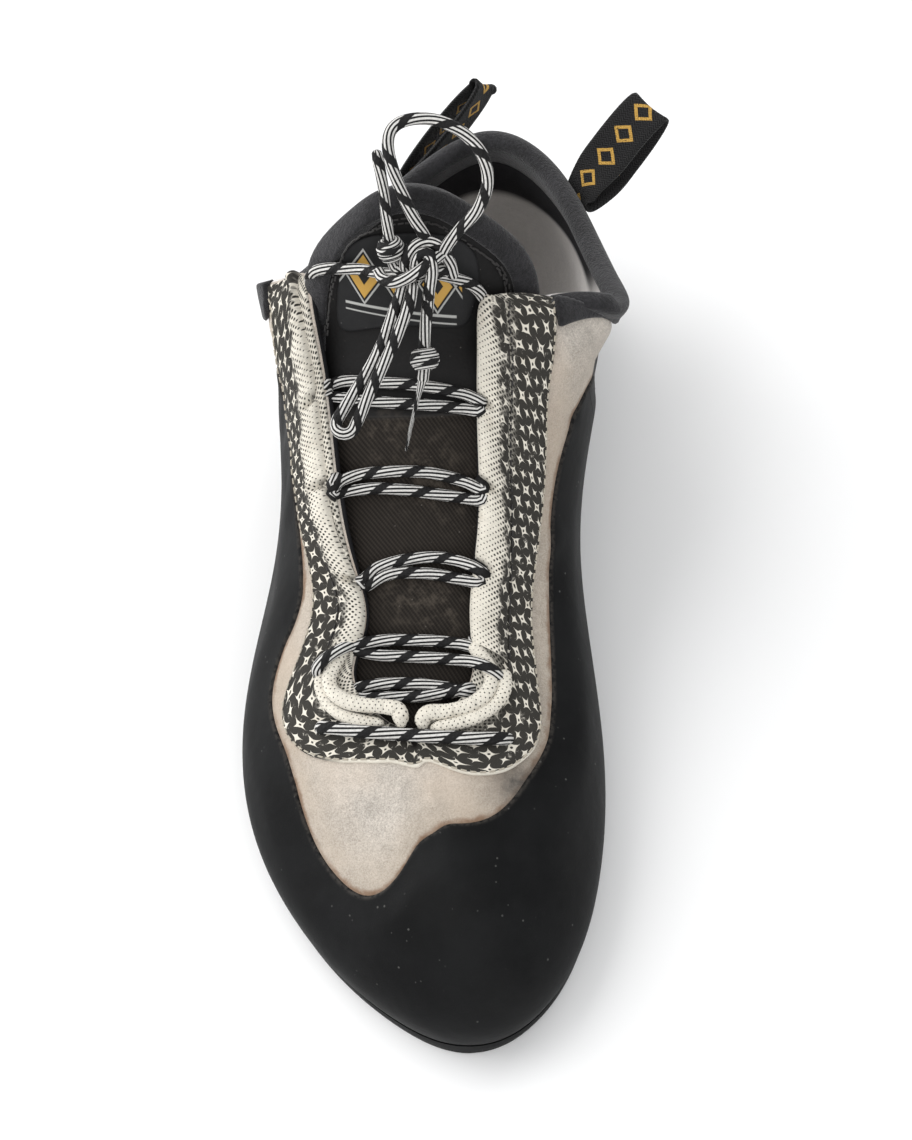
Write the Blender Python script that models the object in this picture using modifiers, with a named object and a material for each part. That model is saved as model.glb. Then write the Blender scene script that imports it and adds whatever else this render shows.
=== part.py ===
"""Climbing shoe, right foot, laced, standing empty on its sole. Metres, +Z up, toe towards -Y, big-toe side +X.

The upper, its rubber, overlays and bindings all come from one form: a ring of sections that climb from
the feather line, where the upper meets the sole, to the edge of the throat and collar."""

import math

import bpy
import numpy as np
from mathutils import Matrix, Vector

MM = 0.001

# Driving sizes of the last, in millimetres
LENGTH = 250.0
BALL_WIDTH = 94.0
INSTEP_HEIGHT = 95.0
HEEL_HEIGHT = 63.5

# Thicknesses
WALL = 2.0
RAND = 2.2
SOLE = 4.2
INSOLE = 2.4
OVERLAY = 1.1
TUBE = 3.4
COLLAR = 2.6
CURL = 2.4
TONGUE = 3.2
TONGUE_EDGE = 4.4
BADGE = 0.9
LACE = 3.0
WEBBING_WIDTH = 12.5
WEBBING = 1.4

# Clearances and small features
GAP = 0.35
SOLE_LEDGE = 0.5
INSOLE_INSET = WALL + 0.9
CURL_WIDTH = 5.0
COLLAR_WIDTH = 9.0
NOTCH = 4.6

RING = 34
STEPS_A_SECTION = 2

# Middle of the finished shoe's box from the last's middle, as shares of BALL_WIDTH and LENGTH: the
# origin stands there
BOX_MIDDLE = (0.0558, 0.0262)

# The form's lines, each a closed ring of rows. A row holds its place in the ring, counted in sections
# from the toe round the little-toe side, the heel and the big-toe side, then x as a share of
# BALL_WIDTH, y back from the toe as a share of LENGTH and z above the flat of the sole as a share of
# INSTEP_HEIGHT, all in hundredths. The first is the foot of the upper
FOOT = (
    # at,     x,    back,    z
    (0.0, 15.0, 2.2, 1.2),
    (1.0, 3.2, 3.2, 1.1),
    (2.0, -11.7, 6.9, 0.7),
    (3.0, -25.0, 12.0, 0.3),
    (4.0, -37.0, 18.8, 0.0),
    (6.0, -47.4, 34.0, -0.3),
    (8.0, -41.0, 50.0, 2.0),
    (10.0, -34.5, 62.0, 4.4),
    (12.0, -30.0, 70.4, 3.4),
    (14.0, -23.8, 82.0, 0.4),
    (15.0, -19.0, 89.4, -0.2),
    (16.0, -8.5, 95.6, -0.2),
    (17.0, 8.5, 98.2, -0.2),
    (18.0, 25.0, 96.0, -0.2),
    (19.0, 33.5, 90.0, -0.2),
    (20.0, 35.5, 82.0, 0.8),
    (22.0, 32.0, 71.6, 4.8),
    (24.0, 30.3, 62.4, 7.4),
    (26.0, 34.5, 50.0, 4.2),
    (28.0, 43.6, 34.0, -0.1),
    (30.0, 43.8, 19.0, -0.1),
    (31.0, 40.4, 12.4, 0.2),
    (32.0, 34.0, 7.0, 0.6),
    (33.0, 25.0, 3.4, 1.0),
)

# The wall's fullest line below the ankle: out from the foot line, square to it, as a share of
# BALL_WIDTH, and z as above
SIDE = (
    # at,  out,   z
    (0.0, 1.5, 8.8),
    (4.0, 2.0, 9.2),
    (6.0, 1.8, 9.8),
    (8.0, 3.0, 17.2),
    (10.0, 4.8, 26.2),
    (12.0, 5.0, 24.2),
    (14.0, 4.4, 19.2),
    (17.0, 4.6, 18.2),
    (20.0, 5.2, 22.2),
    (22.0, 6.5, 28.2),
    (24.0, 6.6, 29.2),
    (26.0, 4.2, 21.2),
    (28.0, 2.0, 12.2),
    (30.0, 2.2, 9.6),
)

# Top of the toe box, with the walls above the arch and the heel cup
BELLY = (
    # at,     x,    back,    z
    (0.0, 12.8, 5.4, 24.7),
    (2.0, -10.6, 9.6, 22.6),
    (4.0, -33.0, 20.2, 21.0),
    (6.0, -45.2, 34.2, 24.2),
    (8.0, -41.0, 49.6, 33.2),
    (10.0, -41.0, 62.8, 51.2),
    (11.0, -41.5, 66.0, 55.2),
    (12.0, -41.0, 70.0, 52.2),
    (13.0, -38.8, 73.6, 46.8),
    (14.0, -34.0, 80.8, 40.4),
    (15.0, -25.5, 89.6, 37.2),
    (16.0, -10.6, 96.4, 36.2),
    (17.0, 9.0, 99.6, 36.2),
    (18.0, 27.7, 96.8, 37.2),
    (19.0, 39.4, 89.6, 38.4),
    (20.0, 43.1, 81.2, 41.5),
    (21.0, 44.1, 75.6, 47.8),
    (22.0, 44.1, 71.2, 54.2),
    (23.0, 43.6, 67.2, 56.2),
    (24.0, 42.0, 62.8, 55.2),
    (26.0, 38.3, 50.4, 40.5),
    (28.0, 43.0, 34.2, 26.8),
    (30.0, 40.8, 20.2, 24.2),
    (32.0, 29.8, 9.6, 24.7),
)

# Where the walls turn over towards the throat and lean in to the collar
SHOULDER = (
    # at,     x,    back,    z
    (0.0, 6.9, 14.0, 36.2),
    (2.0, -8.5, 16.4, 34.8),
    (4.0, -25.0, 24.2, 35.2),
    (6.0, -32.0, 34.6, 40.5),
    (8.0, -33.0, 48.4, 53.2),
    (10.0, -39.9, 63.2, 76.2),
    (11.0, -43.1, 66.6, 81.5),
    (12.0, -45.2, 69.0, 78.4),
    (13.0, -44.7, 71.2, 71.0),
    (14.0, -38.0, 77.0, 57.4),
    (15.0, -26.2, 86.0, 48.0),
    (16.0, -9.6, 94.2, 49.0),
    (17.0, 10.6, 98.0, 52.2),
    (18.0, 29.3, 93.8, 53.2),
    (19.0, 41.0, 86.0, 55.2),
    (20.0, 46.8, 78.0, 60.5),
    (21.0, 48.4, 72.4, 68.9),
    (22.0, 48.4, 69.2, 77.3),
    (23.0, 46.0, 67.4, 82.8),
    (24.0, 40.4, 63.6, 81.6),
    (26.0, 31.4, 52.4, 65.7),
    (28.0, 28.7, 37.2, 45.7),
    (30.0, 26.6, 24.4, 39.4),
    (32.0, 17.0, 16.0, 37.2),
)

# Edge of the throat and collar
EDGE = (
    # at,     x,    back,    z
    (0.0, -2.0, 28.4, 41.6),
    (2.0, -4.6, 28.6, 41.8),
    (3.0, -7.5, 29.0, 42.2),
    (4.0, -12.5, 30.4, 43.6),
    (5.0, -16.8, 32.4, 45.4),
    (6.0, -17.0, 35.2, 47.6),
    (7.0, -14.8, 39.6, 52.6),
    (8.0, -18.2, 47.0, 62.8),
    (9.0, -25.0, 58.6, 81.2),
    (10.0, -31.0, 66.0, 92.4),
    (11.0, -33.4, 67.8, 94.0),
    (12.0, -41.0, 68.8, 89.2),
    (13.0, -46.4, 70.2, 82.6),
    (14.0, -39.5, 75.4, 70.0),
    (15.0, -26.6, 85.2, 60.5),
    (16.0, -8.5, 93.2, 61.5),
    (17.0, 12.0, 96.8, 66.8),
    (18.0, 30.0, 92.2, 66.8),
    (19.0, 41.0, 83.2, 68.6),
    (20.0, 48.0, 74.6, 75.8),
    (21.0, 50.8, 69.4, 83.2),
    (22.0, 42.0, 68.2, 88.8),
    (23.0, 27.0, 67.6, 92.2),
    (24.0, 15.0, 67.0, 94.0),
    (25.0, 13.4, 63.2, 88.6),
    (26.0, 13.8, 56.0, 78.4),
    (27.0, 14.6, 47.4, 64.8),
    (28.0, 12.8, 39.8, 53.2),
    (29.0, 13.6, 33.8, 46.4),
    (30.0, 8.0, 30.4, 43.4),
    (31.0, 2.6, 29.0, 42.2),
    (32.0, 0.0, 28.6, 41.8),
)


def ring_spline(rows):
    """A smooth closed curve through a table's rows, as a function of the place in the ring."""
    rows = np.array(rows, float)
    knots, values = rows[:, 0], rows[:, 1:]
    count = len(knots)
    step = np.diff(np.append(knots, knots[0] + RING))
    system = np.zeros((count, count))
    known = np.zeros_like(values)
    for here in range(count):
        before, after = (here - 1) % count, (here + 1) % count
        system[here, before] += step[before]
        system[here, here] += 2 * (step[before] + step[here])
        system[here, after] += step[here]
        rise = (values[after] - values[here]) / step[here]
        rise_before = (values[here] - values[before]) / step[before]
        known[here] = 6 * (rise - rise_before)
    bend = np.linalg.solve(system, known)

    def at(places):
        places = (np.asarray(places, float) - knots[0]) % RING + knots[0]
        left = np.clip(np.searchsorted(knots, places, side="right") - 1, 0, count - 1)
        right = (left + 1) % count
        width = step[left][..., None]
        b = ((places - knots[left]) / step[left])[..., None]
        a = 1 - b
        lift = (a**3 - a) * bend[left] + (b**3 - b) * bend[right]
        return a * values[left] + b * values[right] + lift * width**2 / 6

    return at


def sized(shares):
    """Hundredths of the last's sizes as millimetres, with y from mid-length and z from the floor."""
    scale = np.array([BALL_WIDTH, LENGTH, INSTEP_HEIGHT]) / 100
    return shares * scale + np.array([0, -LENGTH / 2, SOLE + GAP])


FOOT_LINE = ring_spline(FOOT)
SIDE_LINE = ring_spline(SIDE)
BELLY_LINE = ring_spline(BELLY)
SHOULDER_LINE = ring_spline(SHOULDER)
EDGE_LINE = ring_spline(EDGE)


def raised(points):
    """Behind the collar corners the walls follow HEEL_HEIGHT, which is this share of the instep."""
    heel_share = 0.668
    heel = np.clip((points[..., 1] / LENGTH + 0.5 - 0.70) / 0.20, 0, 1)
    heel = heel * heel * (3 - 2 * heel)
    rise = heel * (HEEL_HEIGHT / (INSTEP_HEIGHT * heel_share) - 1)
    points[..., 2] += (points[..., 2] - SOLE - GAP) * rise
    return points


def foot_at(places):
    """Foot line, level where the sole lies flat on the floor."""
    foot = sized(FOOT_LINE(places))
    foot[..., 2] = np.maximum(foot[..., 2], SOLE + GAP)
    return foot


def edge_at(places):
    return raised(sized(EDGE_LINE(places)))


def outward_at(places):
    """Level direction square to the foot line, away from the shoe."""
    along = foot_at(np.asarray(places) + 0.05) - foot_at(np.asarray(places) - 0.05)
    out = np.stack([along[..., 1], -along[..., 0], 0 * along[..., 0]], -1)
    return -out / np.linalg.norm(out, axis=-1, keepdims=True)


def section_points(places):
    """The five points that a section's curve passes: foot, side, belly, shoulder and edge."""
    swell = SIDE_LINE(places)
    side = foot_at(places) + outward_at(places) * swell[..., :1] * BALL_WIDTH / 100
    side[..., 2] = swell[..., 1] * INSTEP_HEIGHT / 100 + SOLE + GAP
    belly = raised(sized(BELLY_LINE(places)))
    shoulder = raised(sized(SHOULDER_LINE(places)))
    return np.stack([foot_at(places), side, belly, shoulder, edge_at(places)], -2)


def form_at(places, heights):
    """A point of the last for a place in the ring and a height, 0 at the foot and 1 at the edge."""
    places, heights = np.broadcast_arrays(np.asarray(places, float), np.asarray(heights, float))
    points = section_points(places)
    chord = np.linalg.norm(np.diff(points, axis=-2), axis=-1)
    knots = np.concatenate([0 * chord[..., :1], np.cumsum(chord, -1)], -1)
    knots = knots / knots[..., -1:]
    step = np.diff(knots)
    slope = np.diff(points, axis=-2) / step[..., None]
    inner = (step[..., 1:, None] * slope[..., :-1, :] + step[..., :-1, None] * slope[..., 1:, :])
    inner = inner / (step[..., 1:] + step[..., :-1])[..., None]
    first = 2 * slope[..., :1, :] - inner[..., :1, :]
    last = 2 * slope[..., -1:, :] - inner[..., -1:, :]
    tangent = np.concatenate([first, inner, last], -2)
    span = np.clip((heights[..., None] >= knots[..., 1:-1]).sum(-1), 0, 3)[..., None]
    width = np.take_along_axis(step, span, -1)
    t = (heights[..., None] - np.take_along_axis(knots, span, -1)) / width

    def picked(values, shift):
        return np.take_along_axis(values, span[..., None] + shift, -2)[..., 0, :]

    start, end = picked(points, 0), picked(points, 1)
    pull, push = picked(tangent, 0) * width, picked(tangent, 1) * width
    blend = (2 * t**3 - 3 * t**2 + 1) * start + (3 * t**2 - 2 * t**3) * end
    return blend + (t**3 - 2 * t**2 + t) * pull + (t**3 - t**2) * push


def normal_at(places, heights):
    """Unit normal of the form, out of the shoe."""
    lower, upper = np.clip(np.asarray(heights) - 0.01, 0, 1), np.clip(np.asarray(heights) + 0.01, 0, 1)
    around = form_at(np.asarray(places) + 0.04, heights) - form_at(np.asarray(places) - 0.04, heights)
    climb = form_at(places, upper) - form_at(places, lower)
    normal = np.cross(climb, around)
    return normal / np.linalg.norm(normal, axis=-1, keepdims=True)


def shell_at(places, heights, outward):
    return form_at(places, heights) + normal_at(places, heights) * outward


# Pieces of the shoe

# Top line of the rubber: place in the ring, height on the form in hundredths
RUBBER_TOP = (
    # at, height
    (0.0, 67.0),
    (0.9, 60.0),
    (1.5, 52.0),
    (2.2, 42.5),
    (2.9, 42.5),
    (3.6, 45.0),
    (4.2, 49.5),
    (5.0, 56.0),
    (6.0, 55.5),
    (6.7, 66.5),
    (7.3, 74.5),
    (8.2, 73.0),
    (9.2, 70.0),
    (11.0, 66.0),
    (13.0, 64.0),
    (15.0, 69.0),
    (17.0, 72.0),
    (19.0, 67.0),
    (21.0, 59.0),
    (23.0, 57.0),
    (24.5, 60.0),
    (26.0, 65.0),
    (27.2, 69.0),
    (28.4, 64.0),
    (29.6, 62.0),
    (31.0, 63.0),
    (32.4, 68.0),
)

# Outer line of the eyestay print, with its inner line under the lace tubes
PRINT_OUTER = (
    (0.0, 87.0),
    (2.2, 86.0),
    (3.2, 81.0),
    (4.0, 72.0),
    (4.7, 64.5),
    (5.6, 61.0),
    (6.1, 68.0),
    (6.6, 73.5),
    (7.3, 77.5),
    (8.2, 77.0),
    (9.2, 73.5),
    (10.1, 78.0),
    (11.2, 88.0),
    (12.3, 96.5),
    (17.0, 98.0),
    (22.6, 96.5),
    (23.3, 90.0),
    (24.2, 81.0),
    (25.0, 77.0),
    (26.1, 72.5),
    (27.4, 74.0),
    (28.4, 69.5),
    (29.2, 66.0),
    (29.9, 67.0),
    (30.7, 74.0),
    (31.5, 83.0),
)
SEAM = (
    (0.0, 98.5),
    (2.2, 98.0),
    (3.8, 93.0),
    (4.8, 87.5),
    (5.7, 85.5),
    (6.4, 88.0),
    (7.3, 90.0),
    (7.9, 87.0),
    (8.5, 84.5),
    (9.1, 85.5),
    (9.8, 89.5),
    (10.8, 94.5),
    (12.3, 98.5),
    (17.0, 98.5),
    (22.6, 98.5),
    (24.0, 95.0),
    (24.7, 91.5),
    (26.0, 89.0),
    (27.0, 87.0),
    (28.0, 84.5),
    (28.9, 85.0),
    (29.7, 90.0),
    (30.6, 95.0),
    (31.6, 98.0),
)

# Places in the ring where pieces end or meet
RUBBER_JOINS = (10.0, 24.0)
PRINT_ENDS = (-11.3, 12.2)
COLLAR_ENDS = (12.8, 22.2)
NOTCHES = {"lateral": (7.40, 8.35, 9.05), "medial": (27.45, 26.60, 25.75)}
TUBE_ENDS = {"lateral": (6.25, 11.1), "medial": (28.45, 24.0)}
CURL_ENDS = {"lateral": (3.4, 5.95), "medial": (30.9, 28.75)}

# Heights of the upper's rows on the form, closer where the rubber curves under the foot
UPPER_ROWS = (0.0, 0.055, 0.12, 0.19, 0.27, 0.36, 0.46, 0.57, 0.68, 0.79, 0.90, 1.0)
RUBBER_ROWS = 5

# Tongue rows: where its two sides lie under the form, and how far its middle rises between them
TONGUE_UNDER = (
    # little-toe side, its height, big-toe side, its height, rise
    (2.6, 84.0, 31.6, 82.0, -2.6),
    (5.0, 84.0, 29.6, 82.0, 0.9),
    (6.0, 84.0, 28.6, 81.0, 3.2),
    (7.0, 84.0, 27.8, 81.0, 4.6),
    (8.0, 84.0, 26.9, 81.0, 6.4),
    (8.7, 84.0, 26.0, 81.0, 7.4),
    (9.4, 84.0, 25.2, 81.0, 6.0),
)

# Rows of the tongue's free top: its left, middle and right points as x, back and z, shares as above
TONGUE_TOP = (
    (-33.6, 65.0, 78.4, -8.0, 65.4, 92.0, 27.2, 66.0, 79.0),
    (-33.0, 68.0, 91.0, -6.0, 67.6, 101.0, 32.6, 69.2, 88.0),
    (-28.5, 70.4, 105.0, -4.0, 70.0, 112.0, 28.0, 72.0, 101.0),
    (-14.0, 72.4, 118.0, -2.6, 72.4, 121.0, 11.0, 72.8, 116.5),
)
TONGUE_STEPS_ALONG = 18
TONGUE_STEPS_ACROSS = 6
TONGUE_EDGE_FROM = 0.957
BADGE_ALONG = (0.76, 0.925)
BADGE_ACROSS = (0.20, 0.80)

# Webbing loops at the heel: place and height of the root on the form, how far it stands off the
# collar, then the way from root to tip as x, back and z, in millimetres
PULL_LOOPS = {
    "lateral": (16.05, 0.80, 1.5, (22.0, 16.0, 21.0)),
    "medial": (18.4, 0.92, -0.6, (19.0, 17.0, 16.0)),
}
PULL_LOOP_BELLY = 9.0
PULL_LOOP_ROOT = 3.4

# Lace routes between the eyestays, as x, back and z in millimetres
LACE_BAR = (
    (-25.5, 73.6, 45.7),
    (-19.0, 70.6, 49.6),
    (-10.0, 68.0, 51.6),
    (0.0, 67.0, 52.4),
    (10.0, 67.2, 52.2),
    (18.0, 68.2, 50.6),
    (24.0, 69.4, 47.6),
)
RUNGS = (
    # little-toe end and big-toe end, as places in the ring beside the lace tubes
    (5.92, 28.95),
    (6.55, 28.25),
    (7.35, 27.45),
    (8.36, 26.60),
    (9.05, 25.75),
)
RUNG_SPREAD = 1.75
RUNG_RISE = 0.8
BOW = {
    "lace_top_lateral": (
        (-27.5, 169.5, 100.2),
        (-21.0, 167.5, 104.0),
        (-9.4, 163.5, 108.9),
    ),
    "lace_top_medial": (
        (12.5, 166.0, 99.0),
        (9.0, 164.0, 103.5),
        (3.3, 160.7, 107.8),
    ),
    "lace_loop_upper": (
        (-3.1, 164.7, 116.5),
        (-4.5, 170.0, 125.0),
        (-7.5, 175.5, 133.0),
        (-8.0, 180.0, 139.0),
        (-4.5, 183.0, 142.0),
        (2.0, 184.0, 142.5),
        (9.0, 182.5, 141.5),
        (14.0, 178.5, 138.0),
        (16.0, 172.5, 133.0),
        (13.0, 168.0, 127.5),
        (8.0, 163.5, 121.5),
        (2.4, 161.6, 116.8),
    ),
    "lace_loop_lower": (
        (-6.1, 157.1, 109.8),
        (-9.0, 151.0, 106.5),
        (-13.5, 142.0, 102.5),
        (-18.0, 133.0, 99.0),
        (-21.6, 129.0, 96.5),
        (-23.4, 132.5, 95.0),
        (-20.0, 140.5, 97.0),
        (-15.5, 149.0, 100.5),
        (-8.5, 157.8, 106.8),
    ),
    "lace_end_upper": (
        (-9.1, 170.0, 118.3),
        (-9.4, 174.0, 125.0),
        (-9.8, 179.0, 131.5),
    ),
    "lace_end_lower": (
        (-1.7, 158.0, 107.5),
        (-0.6, 150.5, 100.8),
        (-0.4, 146.8, 98.1),
    ),
    "lace_tip_lower": (
        (-0.75, 139.6, 93.5),
        (-1.8, 132.5, 90.0),
        (-2.8, 126.5, 88.0),
    ),
}
KNOTS = {
    # middle and half-sizes
    "lace_knot": ((-3.0, 161.5, 111.5), (7.2, 4.6, 5.6)),
    "lace_stopper_upper": ((-9.4, 168.2, 113.8), (4.2, 3.4, 4.4)),
    "lace_stopper_lower": ((-0.5, 143.2, 95.8), (4.0, 4.0, 3.4)),
}
TIP_SHARE = 0.45

COLOURS = {
    # red, green, blue, roughness
    "suede": (0.50, 0.46, 0.42, 0.95),
    "rubber": (0.022, 0.023, 0.024, 0.62),
    "print": (0.42, 0.40, 0.34, 0.85),
    "tube": (0.66, 0.63, 0.55, 0.85),
    "fleece": (0.055, 0.055, 0.06, 0.98),
    "tongue": (0.03, 0.028, 0.026, 0.9),
    "badge": (0.06, 0.06, 0.065, 0.6),
    "insole": (0.20, 0.18, 0.16, 0.95),
    "webbing": (0.03, 0.03, 0.03, 0.8),
    "lace": (0.30, 0.30, 0.30, 0.8),
}


def height_line(rows):
    spline = ring_spline(rows)
    return lambda places: spline(places)[..., 0] / 100


RUBBER_LINE = height_line(RUBBER_TOP)
PRINT_LINE = height_line(PRINT_OUTER)
SEAM_LINE = height_line(SEAM)


def section_length(places):
    """Length of a section's curve from foot to edge."""
    points = section_points(places)
    return np.linalg.norm(np.diff(points, axis=-2), axis=-1).sum(-1)


def seat_height(places, outward):
    """Height on the form where a skin this far out stands a gap above the sole."""
    floor = foot_at(places)[..., 2]
    heights = np.zeros(len(places))
    for _ in range(5):
        here = shell_at(places, heights, outward)[..., 2]
        climb = shell_at(places, heights + 0.01, outward)[..., 2] - here
        heights = heights + np.clip(0.01 * (floor - here) / climb, -0.02, 0.02)
        heights = np.clip(heights, 0, 0.1)
    return heights


def material(name):
    red, green, blue, roughness = COLOURS[name]
    made = bpy.data.materials.get(name) or bpy.data.materials.new(name)
    made.use_nodes = True
    shader = made.node_tree.nodes["Principled BSDF"]
    shader.inputs["Base Color"].default_value = (red, green, blue, 1)
    shader.inputs["Roughness"].default_value = roughness
    made.diffuse_color = (red, green, blue, 1)
    return made


def add_object(name, points, faces, colour):
    """A mesh object from points in millimetres."""
    mesh = bpy.data.meshes.new(name)
    mesh.from_pydata([tuple(point) for point in np.asarray(points) * MM], [], faces)
    mesh.update()
    made = bpy.data.objects.new(name, mesh)
    made.data.materials.append(material(colour))
    SHOE.objects.link(made)
    made.parent = ROOT
    return made


def grid_faces(rows, columns, ring=False):
    """Faces of a grid whose points run along the columns first, facing out of the shoe."""
    faces = []
    for row in range(rows if ring else rows - 1):
        after = (row + 1) % rows
        for column in range(columns - 1):
            here = row * columns + column
            there = after * columns + column
            faces.append((here, here + 1, there + 1, there))
    return faces


def thicken(made, thickness, offset):
    shell = made.modifiers.new("wall", "SOLIDIFY")
    shell.thickness = thickness * MM
    shell.offset = offset
    shell.use_even_offset = True
    shell.use_quality_normals = True
    return made


def places_between(start, end):
    """Places from start to end at the ring's own steps, so that neighbouring skins share them."""
    step = 1 / STEPS_A_SECTION
    first, last = math.ceil(start / step + 0.2), math.floor(end / step - 0.2)
    return np.array([start] + [index * step for index in range(first, last + 1)] + [end])


def skin(name, places, heights, outward, thickness, colour, ring=False):
    """An open sheet of the form, a row of heights for each place, thickened outward or inward."""
    rows = heights.shape[1]
    wide = np.repeat(places[:, None], rows, 1)
    points = shell_at(wide, heights, outward).reshape(-1, 3)
    made = add_object(name, points, grid_faces(len(places), rows, ring), colour)
    return thicken(made, abs(thickness), math.copysign(1, thickness))


def closed_loft(name, sections, colour, ring=False):
    """A closed body through like sections of points, each a loop, with its ends capped."""
    sections = np.asarray(sections)
    count, around = sections.shape[:2]
    faces = []
    for row in range(count if ring else count - 1):
        after = (row + 1) % count
        for column in range(around):
            beside = (column + 1) % around
            faces.append(
                (
                    row * around + column,
                    row * around + beside,
                    after * around + beside,
                    after * around + column,
                )
            )
    if not ring:
        faces.append(tuple(reversed(range(around))))
        faces.append(tuple((count - 1) * around + column for column in range(around)))
    made = add_object(name, sections.reshape(-1, 3), faces, colour)
    face_outward(made.data)
    return made


def face_outward(mesh):
    """Turns a closed mesh's faces so that its volume is positive."""
    mesh.calc_loop_triangles()
    points = np.array([vertex.co for vertex in mesh.vertices])
    corners = points[[list(triangle.vertices) for triangle in mesh.loop_triangles]]
    if np.linalg.det(corners).sum() < 0:
        mesh.flip_normals()


def outline_sides(inset, count):
    """Left and right points of the foot line at stations along the shoe, moved in by an inset."""
    dense = np.linspace(0, RING, 1360, endpoint=False)
    line = foot_at(dense) - outward_at(dense) * inset
    tip, heel = line[:, 1].argmin(), line[:, 1].argmax()
    start, end = line[tip, 1] + 0.4, line[heel, 1] - 0.4
    turn = np.linspace(0, math.pi, count)
    stations = start + (end - start) * (1 - np.cos(turn)) / 2

    def branch(side):
        order = side[np.argsort(side[:, 1])]
        return np.stack([np.interp(stations, order[:, 1], order[:, axis]) for axis in (0, 1, 2)], -1)

    after_tip = np.roll(line, -tip, 0)
    split = (heel - tip) % len(dense)
    return branch(after_tip[: split + 1]), branch(after_tip[split:])


def sole_sections(lateral, medial, over_top, thickness, chamfer):
    """Sections across the shoe between two side lines, from over_top down by a thickness."""
    up = np.array([0, 0, 1.0])
    across = medial - lateral
    inward = across / np.linalg.norm(across, axis=-1, keepdims=True)
    inset = np.minimum(chamfer, np.linalg.norm(across, axis=-1) / 4)[:, None] * inward
    top, bottom = over_top * up, (over_top - thickness) * up
    step = (over_top - thickness + min(chamfer, thickness / 2)) * up
    shares = (0.25, 0.5, 0.75)
    loop = [lateral + top]
    loop += [lateral + across * share + top for share in shares]
    loop += [medial + top, medial + step, medial - inset + bottom]
    loop += [lateral + across * share + bottom for share in reversed(shares)]
    loop += [lateral + inset + bottom, lateral + step]
    return np.stack(loop, 1)


def make_sole():
    lateral, medial = outline_sides(-(GAP + RAND + SOLE_LEDGE), 30)
    closed_loft("outsole", sole_sections(lateral, medial, -GAP, SOLE, 1.1), "rubber")


def make_insole():
    """The insole lies on the sole's top, whose height runs straight from one side to the other."""
    sides = outline_sides(INSOLE_INSET, 20)
    outer, inner = outline_sides(-(GAP + RAND + SOLE_LEDGE), 60)
    for side in sides:
        ends = [
            [np.interp(side[:, 1], line[:, 1], line[:, axis]) for axis in (0, 2)]
            for line in (outer, inner)
        ]
        share = (side[:, 0] - ends[0][0]) / (ends[1][0] - ends[0][0])
        side[:, 2] = ends[0][1] + (ends[1][1] - ends[0][1]) * share
    closed_loft("insole", sole_sections(*sides, INSOLE, INSOLE, 0.5), "insole")


def make_upper():
    places = np.arange(0, RING, 1 / STEPS_A_SECTION)
    heights = np.repeat(np.array([UPPER_ROWS]), len(places), 0)
    skin("upper", places, heights, 0, -WALL, "suede", ring=True)


def make_rubber():
    start, end = RUBBER_JOINS
    pieces = (
        ("toe_rand", places_between(end - RING, start)),
        ("heel_rand", places_between(start + 0.04, end - 0.04)),
    )
    shared = np.array(UPPER_ROWS[1:RUBBER_ROWS])
    for name, places in pieces:
        low = seat_height(places, GAP + RAND)[:, None]
        top = RUBBER_LINE(places)[:, None]
        lower = np.maximum(shared, low + 0.02 * np.arange(1, RUBBER_ROWS))
        upper = lower[:, -1:] + (top - lower[:, -1:]) * np.array([0.25, 0.5, 0.75, 1.0])
        skin(name, places, np.hstack([low, lower, upper]), GAP, RAND, "rubber")


def make_print():
    places = places_between(*PRINT_ENDS)
    low = PRINT_LINE(places)
    high = np.maximum(SEAM_LINE(places) - 0.004, low + 0.012)
    heights = low[:, None] + (high - low)[:, None] * np.linspace(0, 1, 4)
    skin("eyestay_overlay", places, heights, GAP, OVERLAY, "print")


def roll_sections(places, low, high, thickness):
    """Rounded sections of a roll that lies on the form between two height lines."""
    width = high - low
    profile = (
        (0.0, 0.06),
        (0.02, 0.6),
        (0.22, 0.95),
        (0.5, 1.05),
        (0.78, 0.95),
        (0.98, 0.6),
        (1.0, 0.06),
        (0.5, 0.02),
    )
    loop = [shell_at(places, low + width * across, GAP + thickness * up) for across, up in profile]
    return np.stack(loop, 1)


def ring_step(place):
    """Length along the edge for one step in the ring."""
    ends = edge_at(np.array([place - 0.05, place + 0.05]))
    return np.linalg.norm(ends[1] - ends[0]) / 0.1


def make_tubes():
    for side, notches in NOTCHES.items():
        first, last = TUBE_ENDS[side]
        way = 1 if last > first else -1
        stops = [first]
        for notch in notches:
            half = NOTCH / 2 / ring_step(notch) * way
            stops += [notch - half, notch + half]
        stops.append(last)
        for index in range(len(stops) // 2):
            start, end = sorted(stops[2 * index : 2 * index + 2])
            count = max(4, round((end - start) * 6))
            places = np.linspace(start, end, count)
            low = SEAM_LINE(places) + GAP / section_length(places)
            sections = roll_sections(places, low, 0 * places + 0.99, TUBE)
            closed_loft(f"lace_tube_{side}_{index + 1}", sections, "tube")


def make_curls():
    for side, ends in CURL_ENDS.items():
        start, end = sorted(ends)
        places = np.linspace(start, end, 8)
        wide = CURL_WIDTH / section_length(places)
        low = np.maximum(SEAM_LINE(places) + GAP / section_length(places), 1 - 2 * wide)
        sections = roll_sections(places, low, 0 * places + 0.995, CURL)
        closed_loft(f"throat_binding_{side}", sections, "tube")


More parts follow.
